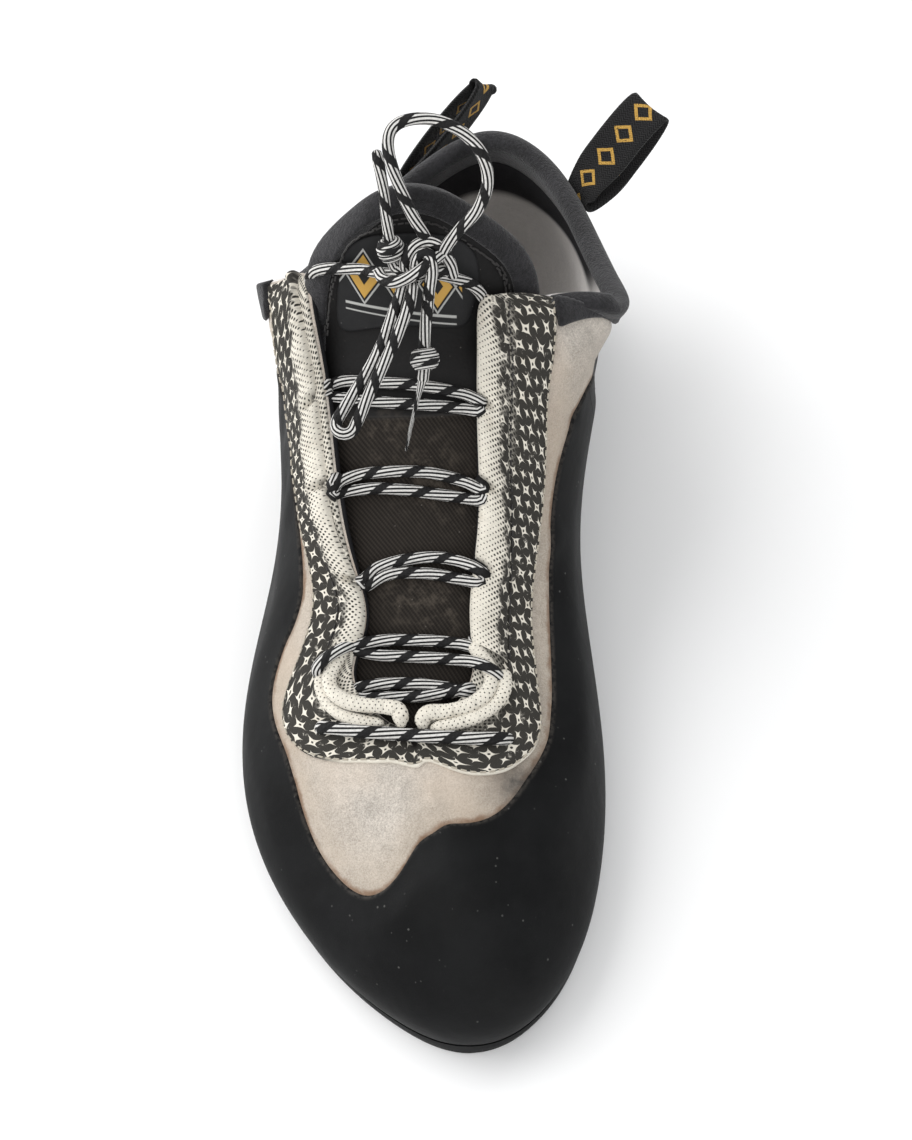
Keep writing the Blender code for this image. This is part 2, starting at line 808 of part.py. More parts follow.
def make_collar():
    places = places_between(*COLLAR_ENDS)
    low = 1 - COLLAR_WIDTH / section_length(places)
    edge = form_at(places, 0 * places + 1)
    climb = edge - form_at(places, 0 * places + 0.96)
    climb = climb / np.linalg.norm(climb, axis=-1, keepdims=True)

    def above(rise, outward):
        return shell_at(places, 0 * places + 1, outward) + climb * rise

    loop = [
        shell_at(places, low, 2 * GAP),
        shell_at(places, low, COLLAR),
        shell_at(places, 0.5 + low / 2, COLLAR + GAP),
        above(0, COLLAR + GAP),
        above(2.2, COLLAR * 0.8),
        above(3.0, 0),
        above(2.2, -WALL),
        above(5 * GAP, -WALL),
        above(3 * GAP, 2 * GAP),
        shell_at(places, 0.5 + low / 2, 2 * GAP),
    ]
    closed_loft("collar_binding", np.stack(loop, 1), "fleece")


def tongue_rows():
    """Left, middle and right points of each row of the tongue's outer face."""
    rows = []
    for left, left_height, right, right_height, rise in TONGUE_UNDER:
        sides = shell_at(
            np.array([left, right]),
            np.array([left_height, right_height]) / 100,
            -(WALL + 3 * GAP),
        )
        middle = sides.mean(0) + np.array([0, 0, rise])
        rows.append(np.stack([sides[0], middle, sides[1]]))
    for row in TONGUE_TOP:
        rows.append(sized(np.array(row).reshape(3, 3)))
    return np.array(rows)


def tongue_at(along, across):
    """A point of the tongue's outer face, 0 to 1 from its toe end to its top and from left to right."""
    rows = tongue_rows()
    steps = np.linalg.norm(np.diff(rows[:, 1], axis=0), axis=-1)
    knots = np.concatenate([[0], np.cumsum(steps)])
    knots = knots / knots[-1]
    slope = np.diff(rows, axis=0) / np.diff(knots)[:, None, None]
    width = np.diff(knots)
    inner = (width[1:, None, None] * slope[:-1] + width[:-1, None, None] * slope[1:])
    inner = inner / (width[1:] + width[:-1])[:, None, None]
    tangent = np.concatenate([slope[:1], inner, slope[-1:]])
    along, across = np.broadcast_arrays(np.asarray(along, float), np.asarray(across, float))
    span = np.clip(np.searchsorted(knots, along, side="right") - 1, 0, len(knots) - 2)
    t = ((along - knots[span]) / width[span])[..., None, None]
    reach = width[span][..., None, None]
    line = (2 * t**3 - 3 * t**2 + 1) * rows[span] + (3 * t**2 - 2 * t**3) * rows[span + 1]
    line = line + (t**3 - 2 * t**2 + t) * tangent[span] * reach
    line = line + (t**3 - t**2) * tangent[span + 1] * reach
    a = across[..., None]
    left, middle, right = line[..., 0, :], line[..., 1, :], line[..., 2, :]
    return left * (1 - a) * (1 - 2 * a) + middle * 4 * a * (1 - a) + right * a * (2 * a - 1)


def tongue_normal(along, across):
    nudge = 0.01
    before, after = np.clip(along - nudge, 0, 1), np.clip(along + nudge, 0, 1)
    forward = tongue_at(after, across) - tongue_at(before, across)
    side = tongue_at(along, across + nudge) - tongue_at(along, across - nudge)
    normal = np.cross(side, forward)
    return normal / np.linalg.norm(normal, axis=-1, keepdims=True)


def tongue_sheet(name, along, across, raised_by, thickness, colour):
    """A sheet of the tongue's face, this far above it, thickened down or up."""
    wide, narrow = np.meshgrid(along, across, indexing="ij")
    points = tongue_at(wide, narrow) + tongue_normal(wide, narrow) * raised_by
    faces = grid_faces(len(along), len(across))
    made = add_object(name, points.reshape(-1, 3), faces, colour)
    return thicken(made, abs(thickness), math.copysign(1, thickness))


def make_tongue():
    across = np.linspace(0, 1, TONGUE_STEPS_ACROSS + 1)
    seam = 0.010
    body = np.linspace(0, TONGUE_EDGE_FROM - seam, TONGUE_STEPS_ALONG)
    tongue_sheet("tongue", body, across, 0, -TONGUE, "tongue")
    rim = np.array([TONGUE_EDGE_FROM, (TONGUE_EDGE_FROM + 1) / 2, 1.0])
    raised_by = (TONGUE_EDGE - TONGUE) / 2
    tongue_sheet("tongue_edge", rim, across, raised_by, -TONGUE_EDGE, "fleece")
    badge_along = np.linspace(*BADGE_ALONG, 5)
    badge_across = np.linspace(*BADGE_ACROSS, 5)
    tongue_sheet("tongue_badge", badge_along, badge_across, 1.5 * GAP, BADGE, "badge")


def make_pull_loops():
    """Each loop is a flat strip bent to a teardrop, rooted flat outside the collar binding."""
    for side, (place, height, stand_off, way) in PULL_LOOPS.items():
        outward = Vector(normal_at(place, height))
        root = Vector(form_at(place, height)) + outward * (COLLAR + stand_off)
        root += outward * (PULL_LOOP_ROOT + WEBBING) / 2
        reach = Vector(way).length
        turns = np.linspace(0, 2 * math.pi, 18, endpoint=False)
        along = reach * (1 - np.cos(turns)) / 2
        belly = PULL_LOOP_ROOT + (PULL_LOOP_BELLY - PULL_LOOP_ROOT) * np.sin(turns / 2)
        bulge = belly / 2 * np.sin(turns)
        points = []
        for off, up in zip(bulge, along):
            points.append((-WEBBING_WIDTH / 2, off, up))
            points.append((WEBBING_WIDTH / 2, off, up))
        made = add_object(f"pull_loop_{side}", points, grid_faces(len(turns), 2, ring=True), "webbing")
        thicken(made, WEBBING, 0)
        rise = Vector(way).normalized()
        flat = (outward - rise * outward.dot(rise)).normalized()
        turned = Matrix((flat.cross(rise), flat, rise)).transposed()
        made.rotation_mode = "QUATERNION"
        made.rotation_quaternion = turned.to_quaternion()
        made.location = root * MM


def smooth_route(points, spacing, ring=False):
    """Points at even spacing on a smooth curve through a route's own points."""
    points = np.array(points, float)
    if ring:
        points = np.concatenate([points[-1:], points, points[:2]])
    else:
        first, last = 2 * points[0] - points[1], 2 * points[-1] - points[-2]
        points = np.concatenate([[first], points, [last]])
    t = np.linspace(0, 1, 12, endpoint=False)[:, None]
    dense = []
    for a, b, c, d in zip(points, points[1:], points[2:], points[3:]):
        curve = 2 * b + (c - a) * t + (2 * a - 5 * b + 4 * c - d) * t**2
        dense.append((curve + (3 * b - a - 3 * c + d) * t**3) / 2)
    dense = np.concatenate(dense + [points[-2:-1]])
    walked = np.concatenate([[0], np.cumsum(np.linalg.norm(np.diff(dense, axis=0), axis=-1))])
    count = max(4, round(walked[-1] / spacing) + 1)
    stops = np.linspace(0, walked[-1], count, endpoint=not ring)
    return np.stack([np.interp(stops, walked, dense[:, axis]) for axis in range(3)], -1)


def add_cord(name, route, diameter, spacing=2.2, ring=False, taper=1.0):
    """A tube along a smooth curve through points given as x, back and z in millimetres."""
    points = smooth_route(route, diameter * spacing, ring) - np.array([0, LENGTH / 2, 0])
    curve = bpy.data.curves.new(name, "CURVE")
    curve.dimensions = "3D"
    curve.bevel_depth = diameter / 2 * MM
    curve.bevel_resolution = 2
    curve.use_fill_caps = not ring
    spline = curve.splines.new("POLY")
    spline.points.add(len(points) - 1)
    for index, point in enumerate(points):
        spline.points[index].co = (*(point * MM), 1)
        spline.points[index].radius = 1 + (taper - 1) * index / (len(points) - 1)
    spline.use_cyclic_u = ring
    made = bpy.data.objects.new(name, curve)
    curve.materials.append(material("lace"))
    SHOE.objects.link(made)
    made.parent = ROOT
    return made


def make_laces():
    add_cord("lace_bar", LACE_BAR, LACE)
    back = np.array([0, LENGTH / 2, 0])
    for index, (left, right) in enumerate(RUNGS):
        across = edge_at(right) - edge_at(left)
        across = across / np.linalg.norm(across)
        reach = (LACE / 2 + GAP / 2) * across
        left = shell_at(left, 1.0, GAP + TUBE / 2) + reach + back
        right = shell_at(right, 1.0, GAP + TUBE / 2) - reach + back
        turns = np.linspace(0, 2 * math.pi, 18, endpoint=False)
        share = (1 - np.sign(np.cos(turns)) * np.abs(np.cos(turns)) ** 0.8) / 2
        middle = left + (right - left) * share[:, None]
        middle[:, 2] += RUNG_RISE * np.sin(math.pi * share)
        middle[:, 1] += RUNG_SPREAD * np.sin(turns)
        middle[:, 2] += RUNG_SPREAD * 0.5 * np.sin(turns)
        add_cord(f"lace_rung_{index + 1}", middle, LACE, 2.0, ring=True)
    for name, route in BOW.items():
        taper = TIP_SHARE if "tip" in name else 1.0
        add_cord(name, route, LACE, taper=taper)
    for name, (middle, half) in KNOTS.items():
        bpy.ops.mesh.primitive_uv_sphere_add(segments=8, ring_count=6, radius=MM)
        knot = bpy.context.object
        knot.name = name
        knot.data.name = name
        knot.scale = half
        knot.location = Vector((np.array(middle) - np.array([0, LENGTH / 2, 0])) * MM)
        knot.data.materials.append(material("lace"))
        for collection in knot.users_collection:
            collection.objects.unlink(knot)
        SHOE.objects.link(knot)
        knot.parent = ROOT


def main():
    make_sole()
    make_insole()
    make_upper()
    make_tongue()
    make_rubber()
    make_print()
    make_tubes()
    make_curls()
    make_collar()
    make_pull_loops()
    make_laces()


for old in list(bpy.data.objects):
    bpy.data.objects.remove(old, do_unlink=True)
SHOE = bpy.data.collections.new("climbing_shoe")
bpy.context.scene.collection.children.link(SHOE)
ROOT = bpy.data.objects.new("shoe", None)
SHOE.objects.link(ROOT)
ROOT.location = (-BOX_MIDDLE[0] * BALL_WIDTH * MM, -BOX_MIDDLE[1] * LENGTH * MM, 0)
main()
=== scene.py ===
"""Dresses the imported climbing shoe.

Leather, rubber, printed cloth, laces and trim over the frame of its CAD solids.

Lengths in the tables and functions are millimetres in the last's own axes, x towards the big toe, y back and
z up. Meshes are made in metres in the row's frame."""

import math

import bpy
import bmesh
import numpy as np
from bpy.props import FloatProperty, FloatVectorProperty, PointerProperty
from mathutils import Matrix, Vector


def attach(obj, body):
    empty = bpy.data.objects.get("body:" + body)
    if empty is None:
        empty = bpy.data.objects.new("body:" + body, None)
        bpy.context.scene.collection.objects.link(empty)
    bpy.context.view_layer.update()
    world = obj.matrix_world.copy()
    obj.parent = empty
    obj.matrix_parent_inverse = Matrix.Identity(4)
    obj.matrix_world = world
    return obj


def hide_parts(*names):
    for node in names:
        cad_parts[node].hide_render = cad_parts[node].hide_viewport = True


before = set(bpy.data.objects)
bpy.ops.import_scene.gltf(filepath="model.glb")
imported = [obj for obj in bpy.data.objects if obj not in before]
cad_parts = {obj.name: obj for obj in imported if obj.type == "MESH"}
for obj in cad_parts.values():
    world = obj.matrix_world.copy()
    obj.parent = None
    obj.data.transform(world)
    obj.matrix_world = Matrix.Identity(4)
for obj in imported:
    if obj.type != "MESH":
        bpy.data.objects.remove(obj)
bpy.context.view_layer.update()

bl_info = {
    "name": "Climbing Shoe Dressing",
    "version": (1, 0, 0),
    "blender": (4, 5, 0),
    "location": "3D View > Sidebar > Shoe",
    "description": "Builds the upper, rubber, printed cloth and laces of a climbing shoe over its CAD frame",
    "category": "Object",
}

MM = 0.001

# The last and its thicknesses, as in the part's source
LENGTH = 250.0
BALL_WIDTH = 94.0
INSTEP_HEIGHT = 95.0
WALL = 2.0
RAND = 2.2
SOLE = 4.2
INSOLE = 2.4
OVERLAY = 1.1
TUBE = 3.4
COLLAR = 2.6
TONGUE = 3.2
GAP = 0.35
BADGE = 0.9
WEBBING = 1.4
SOLE_LEDGE = 0.5
INSOLE_INSET = WALL + 0.9
RING = 34
BOX_MIDDLE = (0.0558 * BALL_WIDTH, 0.0262 * LENGTH)

# How far the printed cloth stands off the leather, and rows of a loft to one place of the ring
PRINT_LIFT = OVERLAY * 0.85
LOFT_ROWS = 12

# The form's lines, each a closed ring of rows. A row holds its place in the ring, counted in sections
# from the toe round the little-toe side, the heel and the big-toe side, then x as a share of
# BALL_WIDTH, y back from the toe as a share of LENGTH and z above the flat of the sole as a share of
# INSTEP_HEIGHT, all in hundredths. The first is the foot of the upper
FOOT = (
    # at,     x,    back,    z
    (0.0, 15.0, 2.2, 1.2), (1.0, 3.2, 3.2, 1.1), (2.0, -11.7, 6.9, 0.7), (3.0, -25.0, 12.0, 0.3),
    (4.0, -37.0, 18.8, 0.0), (6.0, -47.4, 34.0, -0.3), (8.0, -41.0, 50.0, 2.0), (10.0, -34.5, 62.0, 4.4),
    (12.0, -30.0, 70.4, 3.4), (14.0, -23.8, 82.0, 0.4), (15.0, -19.0, 89.4, -0.2), (16.0, -8.5, 95.6, -0.2),
    (17.0, 8.5, 98.2, -0.2), (18.0, 25.0, 96.0, -0.2), (19.0, 33.5, 90.0, -0.2), (20.0, 35.5, 82.0, 0.8),
    (22.0, 32.0, 71.6, 4.8), (24.0, 30.3, 62.4, 7.4), (26.0, 34.5, 50.0, 4.2), (28.0, 43.6, 34.0, -0.1),
    (30.0, 43.8, 19.0, -0.1), (31.0, 40.4, 12.4, 0.2), (32.0, 34.0, 7.0, 0.6), (33.0, 25.0, 3.4, 1.0),
)

# The wall's fullest line below the ankle: out from the foot line, square to it, as a share of
# BALL_WIDTH, and z as above
SIDE = (
    # at,  out,   z
    (0.0, 1.5, 8.8), (4.0, 2.0, 9.2), (6.0, 1.8, 9.8), (8.0, 3.0, 17.2), (10.0, 4.8, 26.2),
    (12.0, 5.0, 24.2), (14.0, 4.4, 19.2), (17.0, 4.6, 18.2), (20.0, 5.2, 22.2), (22.0, 6.5, 28.2),
    (24.0, 6.6, 29.2), (26.0, 4.2, 21.2), (28.0, 2.0, 12.2), (30.0, 2.2, 9.6),
)

# Top of the toe box, with the walls above the arch and the heel cup
BELLY = (
    # at,     x,    back,    z
    (0.0, 12.8, 5.4, 24.7), (2.0, -10.6, 9.6, 22.6), (4.0, -33.0, 20.2, 21.0), (6.0, -45.2, 34.2, 24.2),
    (8.0, -41.0, 49.6, 33.2), (10.0, -41.0, 62.8, 51.2), (11.0, -41.5, 66.0, 55.2),
    (12.0, -41.0, 70.0, 52.2), (13.0, -38.8, 73.6, 46.8), (14.0, -34.0, 80.8, 40.4),
    (15.0, -25.5, 89.6, 37.2), (16.0, -10.6, 96.4, 36.2), (17.0, 9.0, 99.6, 36.2), (18.0, 27.7, 96.8, 37.2),
    (19.0, 39.4, 89.6, 38.4), (20.0, 43.1, 81.2, 41.5), (21.0, 44.1, 75.6, 47.8), (22.0, 44.1, 71.2, 54.2),
    (23.0, 43.6, 67.2, 56.2), (24.0, 42.0, 62.8, 55.2), (26.0, 38.3, 50.4, 40.5), (28.0, 43.0, 34.2, 26.8),
    (30.0, 40.8, 20.2, 24.2), (32.0, 29.8, 9.6, 24.7),
)

# Where the walls turn over towards the throat and lean in to the collar
SHOULDER = (
    # at,     x,    back,    z
    (0.0, 6.9, 14.0, 36.2), (2.0, -8.5, 16.4, 34.8), (4.0, -25.0, 24.2, 35.2), (6.0, -32.0, 34.6, 40.5),
    (8.0, -33.0, 48.4, 53.2), (10.0, -39.9, 63.2, 76.2), (11.0, -43.1, 66.6, 81.5),
    (12.0, -45.2, 69.0, 78.4), (13.0, -44.7, 71.2, 71.0), (14.0, -38.0, 77.0, 57.4),
    (15.0, -26.2, 86.0, 48.0), (16.0, -9.6, 94.2, 49.0), (17.0, 10.6, 98.0, 52.2), (18.0, 29.3, 93.8, 53.2),
    (19.0, 41.0, 86.0, 55.2), (20.0, 46.8, 78.0, 60.5), (21.0, 48.4, 72.4, 68.9), (22.0, 48.4, 69.2, 77.3),
    (23.0, 46.0, 67.4, 82.8), (24.0, 40.4, 63.6, 81.6), (26.0, 31.4, 52.4, 65.7), (28.0, 28.7, 37.2, 45.7),
    (30.0, 26.6, 24.4, 39.4), (32.0, 17.0, 16.0, 37.2),
)

# Edge of the throat and collar
EDGE = (
    # at,     x,    back,    z
    (0.0, -2.0, 28.4, 41.6), (2.0, -4.6, 28.6, 41.8), (3.0, -7.5, 29.0, 42.2), (4.0, -12.5, 30.4, 43.6),
    (5.0, -16.8, 32.4, 45.4), (6.0, -17.0, 35.2, 47.6), (7.0, -14.8, 39.6, 52.6), (8.0, -21.5, 47.2, 62.2),
    (9.0, -26.7, 58.8, 80.6), (10.0, -31.0, 66.0, 92.4), (11.0, -33.6, 70.0, 94.2),
    (12.0, -41.0, 70.4, 89.6), (13.0, -46.4, 71.6, 82.8), (14.0, -39.5, 75.4, 70.0),
    (15.0, -26.6, 85.2, 60.5), (16.0, -8.5, 93.2, 61.5), (17.0, 12.0, 96.8, 66.8), (18.0, 30.0, 92.2, 66.8),
    (19.0, 41.0, 83.2, 68.6), (20.0, 48.0, 74.6, 75.8), (21.0, 50.8, 69.4, 83.2), (22.0, 42.0, 68.2, 88.8),
    (23.0, 27.0, 67.6, 92.2), (24.0, 15.0, 67.0, 94.0), (25.0, 13.4, 63.2, 88.6), (26.0, 13.8, 56.0, 78.4),
    (27.0, 14.6, 47.4, 64.8), (28.0, 12.8, 39.8, 53.2), (29.0, 13.6, 33.8, 46.4), (30.0, 8.0, 30.4, 43.4),
    (31.0, 2.6, 29.0, 42.2), (32.0, 0.0, 28.6, 41.8),
)


def ring_spline(rows):
    """A smooth closed curve through a table's rows, as a function of the place in the ring."""
    rows = np.array(rows, float)
    knots, values = rows[:, 0], rows[:, 1:]
    count = len(knots)
    step = np.diff(np.append(knots, knots[0] + RING))
    system = np.zeros((count, count))
    known = np.zeros_like(values)
    for here in range(count):
        before, after = (here - 1) % count, (here + 1) % count
        system[here, before] += step[before]
        system[here, here] += 2 * (step[before] + step[here])
        system[here, after] += step[here]
        rise = (values[after] - values[here]) / step[here]
        rise_before = (values[here] - values[before]) / step[before]
        known[here] = 6 * (rise - rise_before)
    bend = np.linalg.solve(system, known)

    def at(places):
        places = (np.asarray(places, float) - knots[0]) % RING + knots[0]
        left = np.clip(np.searchsorted(knots, places, side="right") - 1, 0, count - 1)
        right = (left + 1) % count
        width = step[left][..., None]
        b = ((places - knots[left]) / step[left])[..., None]
        a = 1 - b
        lift = (a**3 - a) * bend[left] + (b**3 - b) * bend[right]
        return a * values[left] + b * values[right] + lift * width**2 / 6

    return at


def sized(shares):
    """Hundredths of the last's sizes as millimetres, with y from mid-length and z from the floor."""
    scale = np.array([BALL_WIDTH, LENGTH, INSTEP_HEIGHT]) / 100
    return shares * scale + np.array([0, -LENGTH / 2, SOLE + GAP])


FOOT_LINE = ring_spline(FOOT)
SIDE_LINE = ring_spline(SIDE)
BELLY_LINE = ring_spline(BELLY)
SHOULDER_LINE = ring_spline(SHOULDER)
EDGE_LINE = ring_spline(EDGE)


def foot_at(places):
    """Foot line, level where the sole lies flat on the floor."""
    foot = sized(FOOT_LINE(places))
    foot[..., 2] = np.maximum(foot[..., 2], SOLE + GAP)
    return foot


def edge_at(places):
    return sized(EDGE_LINE(places))


def outward_at(places):
    """Level direction square to the foot line, away from the shoe."""
    along = foot_at(np.asarray(places) + 0.05) - foot_at(np.asarray(places) - 0.05)
    out = np.stack([along[..., 1], -along[..., 0], 0 * along[..., 0]], -1)
    return -out / np.linalg.norm(out, axis=-1, keepdims=True)


def section_points(places):
    """The five points that a section's curve passes: foot, side, belly, shoulder and edge."""
    swell = SIDE_LINE(places)
    side = foot_at(places) + outward_at(places) * swell[..., :1] * BALL_WIDTH / 100
    side[..., 2] = swell[..., 1] * INSTEP_HEIGHT / 100 + SOLE + GAP
    belly = sized(BELLY_LINE(places))
    shoulder = sized(SHOULDER_LINE(places))
    return np.stack([foot_at(places), side, belly, shoulder, edge_at(places)], -2)


def hermite(t, start, end, pull, push):
    """Point of the smooth curve from start to end, with its directions at both."""
    line = (2 * t**3 - 3 * t**2 + 1) * start + (3 * t**2 - 2 * t**3) * end
    return line + (t**3 - 2 * t**2 + t) * pull + (t**3 - t**2) * push


def form_at(places, heights):
    """A point of the last for a place in the ring and a height, 0 at the foot and 1 at the edge."""
    places, heights = np.broadcast_arrays(np.asarray(places, float), np.asarray(heights, float))
    points = section_points(places)
    chord = np.linalg.norm(np.diff(points, axis=-2), axis=-1)
    knots = np.concatenate([0 * chord[..., :1], np.cumsum(chord, -1)], -1)
    knots = knots / knots[..., -1:]
    step = np.diff(knots)
    slope = np.diff(points, axis=-2) / step[..., None]
    inner = (step[..., 1:, None] * slope[..., :-1, :] + step[..., :-1, None] * slope[..., 1:, :])
    inner = inner / (step[..., 1:] + step[..., :-1])[..., None]
    first = 2 * slope[..., :1, :] - inner[..., :1, :]
    last = 2 * slope[..., -1:, :] - inner[..., -1:, :]
    tangent = np.concatenate([first, inner, last], -2)
    span = np.clip((heights[..., None] >= knots[..., 1:-1]).sum(-1), 0, 3)[..., None]
    width = np.take_along_axis(step, span, -1)
    t = (heights[..., None] - np.take_along_axis(knots, span, -1)) / width

    def picked(values, shift):
        return np.take_along_axis(values, span[..., None] + shift, -2)[..., 0, :]

    pull, push = picked(tangent, 0) * width, picked(tangent, 1) * width
    return hermite(t, picked(points, 0), picked(points, 1), pull, push)


def normal_at(places, heights):
    """Unit normal of the form, out of the shoe."""
    lower, upper = np.clip(np.asarray(heights) - 0.01, 0, 1), np.clip(np.asarray(heights) + 0.01, 0, 1)
    around = form_at(np.asarray(places) + 0.04, heights) - form_at(np.asarray(places) - 0.04, heights)
    climb = form_at(places, upper) - form_at(places, lower)
    normal = np.cross(climb, around)
    return normal / np.linalg.norm(normal, axis=-1, keepdims=True)


# Top line of the rubber: place in the ring, height on the form in hundredths
RUBBER_TOP = (
    # at, height
    (0.0, 67.0), (0.9, 61.2), (1.5, 50.8), (2.2, 41.0), (2.9, 39.4), (3.6, 42.2), (4.2, 48.2), (5.0, 53.6),
    (6.0, 51.8), (6.7, 61.0), (7.3, 70.5), (8.2, 73.0), (9.2, 70.0), (11.0, 66.0), (13.0, 64.0),
    (15.0, 69.0), (17.0, 72.0), (19.0, 67.0), (21.0, 59.0), (23.0, 57.0), (24.5, 60.0), (26.0, 65.0),
    (27.2, 64.8), (28.4, 60.2), (29.6, 61.4), (31.0, 62.1), (32.4, 68.0),
)

# Outer line of the eyestay print, with its inner line under the lace tubes
PRINT_OUTER = (
    (0.0, 87.0), (2.2, 86.0), (3.2, 81.0), (4.0, 72.0), (4.7, 63.2), (5.6, 59.6), (6.1, 68.0), (6.6, 73.5),
    (7.3, 77.5), (8.2, 75.2), (9.2, 71.2), (10.1, 74.8), (11.2, 84.5), (12.3, 94.0), (17.0, 98.0),
    (22.6, 96.5), (23.3, 90.0), (24.2, 79.5), (25.0, 76.0), (26.1, 71.5), (27.4, 74.0), (28.4, 68.2),
    (29.2, 64.6), (29.9, 67.0), (30.7, 74.0), (31.5, 83.0),
)
SEAM = (
    (0.0, 98.5), (2.2, 98.0), (3.8, 93.0), (4.8, 87.5), (5.7, 85.5), (6.4, 88.0), (7.3, 90.0), (7.9, 87.0),
    (8.5, 84.5), (9.1, 85.5), (9.8, 89.5), (10.8, 94.5), (12.3, 98.5), (17.0, 98.5), (22.6, 98.5),
    (24.0, 95.0), (24.7, 91.5), (26.0, 89.0), (27.0, 87.0), (28.0, 84.5), (28.9, 85.0), (29.7, 90.0),
    (30.6, 95.0), (31.6, 98.0),
)

# Tongue rows: where its two sides lie under the form, and how far its middle rises between them
TONGUE_UNDER = (
    # little-toe side, its height, big-toe side, its height, rise
    (2.6, 84.0, 31.6, 82.0, -2.6), (5.0, 84.0, 29.6, 82.0, 0.9), (6.0, 84.0, 28.6, 81.0, 3.2),
    (7.0, 84.0, 27.8, 81.0, 4.6), (8.0, 84.0, 26.9, 81.0, 6.4), (8.7, 84.0, 26.0, 81.0, 7.4),
    (9.4, 84.0, 25.2, 81.0, 6.0),
)

# Rows of the tongue's free top: its left, middle and right points as x, back and z, shares as above
TONGUE_TOP = (
    (-33.6, 65.0, 78.4, -8.0, 65.4, 92.0, 27.2, 66.0, 79.0),
    (-33.0, 68.0, 91.0, -6.6, 67.6, 101.0, 29.4, 69.2, 88.0),
    (-28.5, 70.4, 105.0, -5.0, 70.0, 112.0, 23.8, 72.0, 101.0),
    (-14.0, 72.4, 118.0, -4.0, 72.4, 121.0, 7.6, 72.8, 116.5),
)
BADGE_ALONG = (0.76, 0.925)
BADGE_ACROSS = (0.20, 0.80)

# Webbing loops at the heel: place and height of the root on the form, how far it stands off the
# collar, then the way from root to tip as x, back and z, in millimetres
PULL_LOOPS = {
    "lateral": (16.05, 0.80, 1.5, (22.0, 16.0, 21.0)),
    "medial": (18.4, 0.92, -0.6, (19.0, 17.0, 16.0)),
}
PULL_LOOP_BELLY = {"lateral": 4.4, "medial": 6.4}
PULL_LOOP_TWIST = {"lateral": 0.0, "medial": -0.85}
PULL_LOOP_ROOT = 3.4


RUBBER_JOINS = (10.0, 24.0)
PRINT_ENDS = (-11.3, 12.45)
COLLAR_ENDS = (12.45, 22.62)
SLITS = {"lateral": (7.40, 8.35, 9.05), "medial": (27.45, 26.60, 25.75)}
SLEEVE_ENDS = {"lateral": (6.22, 11.15), "medial": (24.0, 28.48)}

# Soft troughs and ridges pressed into the form: from place and height to place and height in the ring,
# then half-width and depth in millimetres, a trough below zero and a ridge above it
CREASES = (
    (31.6, 0.78, 33.0, 0.7, 3.4, -0.7), (33.2, 0.8, 1.2, 0.8, 4.0, -0.8), (0.4, 0.72, 1.6, 0.62, 3.6, 0.6),
    (1.9, 0.74, 2.9, 0.58, 3.2, -0.6), (3.4, 0.66, 4.6, 0.54, 3.0, -0.5),
    (29.8, 0.6, 30.8, 0.72, 3.0, -0.6), (28.9, 0.56, 28.2, 0.7, 3.2, -0.5),
    (6.6, 0.62, 7.4, 0.7, 2.6, -0.5), (8.2, 0.6, 8.9, 0.74, 3.0, 0.5), (9.3, 0.56, 9.9, 0.76, 2.8, -0.6),
    (10.6, 0.44, 11.6, 0.86, 3.6, -0.7), (12.2, 0.56, 12.7, 0.9, 3.2, 0.5),
    (13.6, 0.7, 14.4, 0.84, 3.4, -0.6), (19.8, 0.72, 20.6, 0.86, 3.4, -0.6),
    (21.4, 0.56, 22.2, 0.88, 3.2, 0.5), (22.8, 0.46, 23.6, 0.84, 3.6, -0.8),
    (24.6, 0.58, 25.3, 0.76, 2.8, -0.6), (26.2, 0.58, 26.9, 0.7, 2.6, 0.5),
)


def height_line(rows):
    spline = ring_spline(rows)
    return lambda places: spline(places)[..., 0] / 100


RUBBER_LINE = height_line(RUBBER_TOP)
PRINT_LINE = height_line(PRINT_OUTER)
SEAM_LINE = height_line(SEAM)


def section_length(places):
    """Length of a section's curve from foot to edge."""
    points = section_points(places)
    return np.linalg.norm(np.diff(points, axis=-2), axis=-1).sum(-1)


def ring_between(start, end, share):
    """Place a share of the way from start to end, the short way round the ring."""
    return start + ((end - start + RING / 2) % RING - RING / 2) * share


def crease_lines():
    share = np.linspace(0, 1, 9)
    lines = []
    for start, low, end, high, reach, depth in CREASES:
        line = form_at(ring_between(start, end, share), low + (high - low) * share)
        lines.append((line, reach, depth))
    return lines


CREASE_LINES = crease_lines()


def to_line(points, line):
    """Each point's distance from a line, and the share of the line where that is measured."""
    near = np.full(points.shape[:-1], 1e9)
    along = np.zeros(points.shape[:-1])
    for index, (a, b) in enumerate(zip(line, line[1:])):
        way = b - a
        t = np.clip(((points - a) @ way) / (way @ way), 0, 1)
        gap = np.linalg.norm(points - a - t[..., None] * way, axis=-1)
        along = np.where(gap < near, (index + t) / (len(line) - 1), along)
        near = np.minimum(near, gap)
    return near, along


def relief(points):
    """How far the listed creases move a point of the form out, in millimetres."""
    moved = np.zeros(points.shape[:-1])
    for line, reach, depth in CREASE_LINES:
        near, along = to_line(points, line)
        moved += depth * np.exp(-((near / reach) ** 2)) * (1 - (2 * along - 1) ** 4)
    return moved


def shell_at(places, heights, outward):
    """A point this far out from the last, with the creases in it."""
    base = form_at(places, heights)
    lift = outward + relief(base)
    return base + normal_at(places, heights) * np.asarray(lift)[..., None]


def unit(vectors):
    return vectors / np.maximum(np.linalg.norm(vectors, axis=-1, keepdims=True), 1e-9)


def blend(low, high, value):
    """0 below low and 1 above high, with a smooth step between them."""
    share = np.clip((np.asarray(value, float) - low) / (high - low), 0, 1)
    return share * share * (3 - 2 * share)


def walked(points):
    """Length along a line at each of its points."""
    steps = np.linalg.norm(np.diff(points, axis=0), axis=-1)
    return np.concatenate([[0], np.cumsum(steps)])


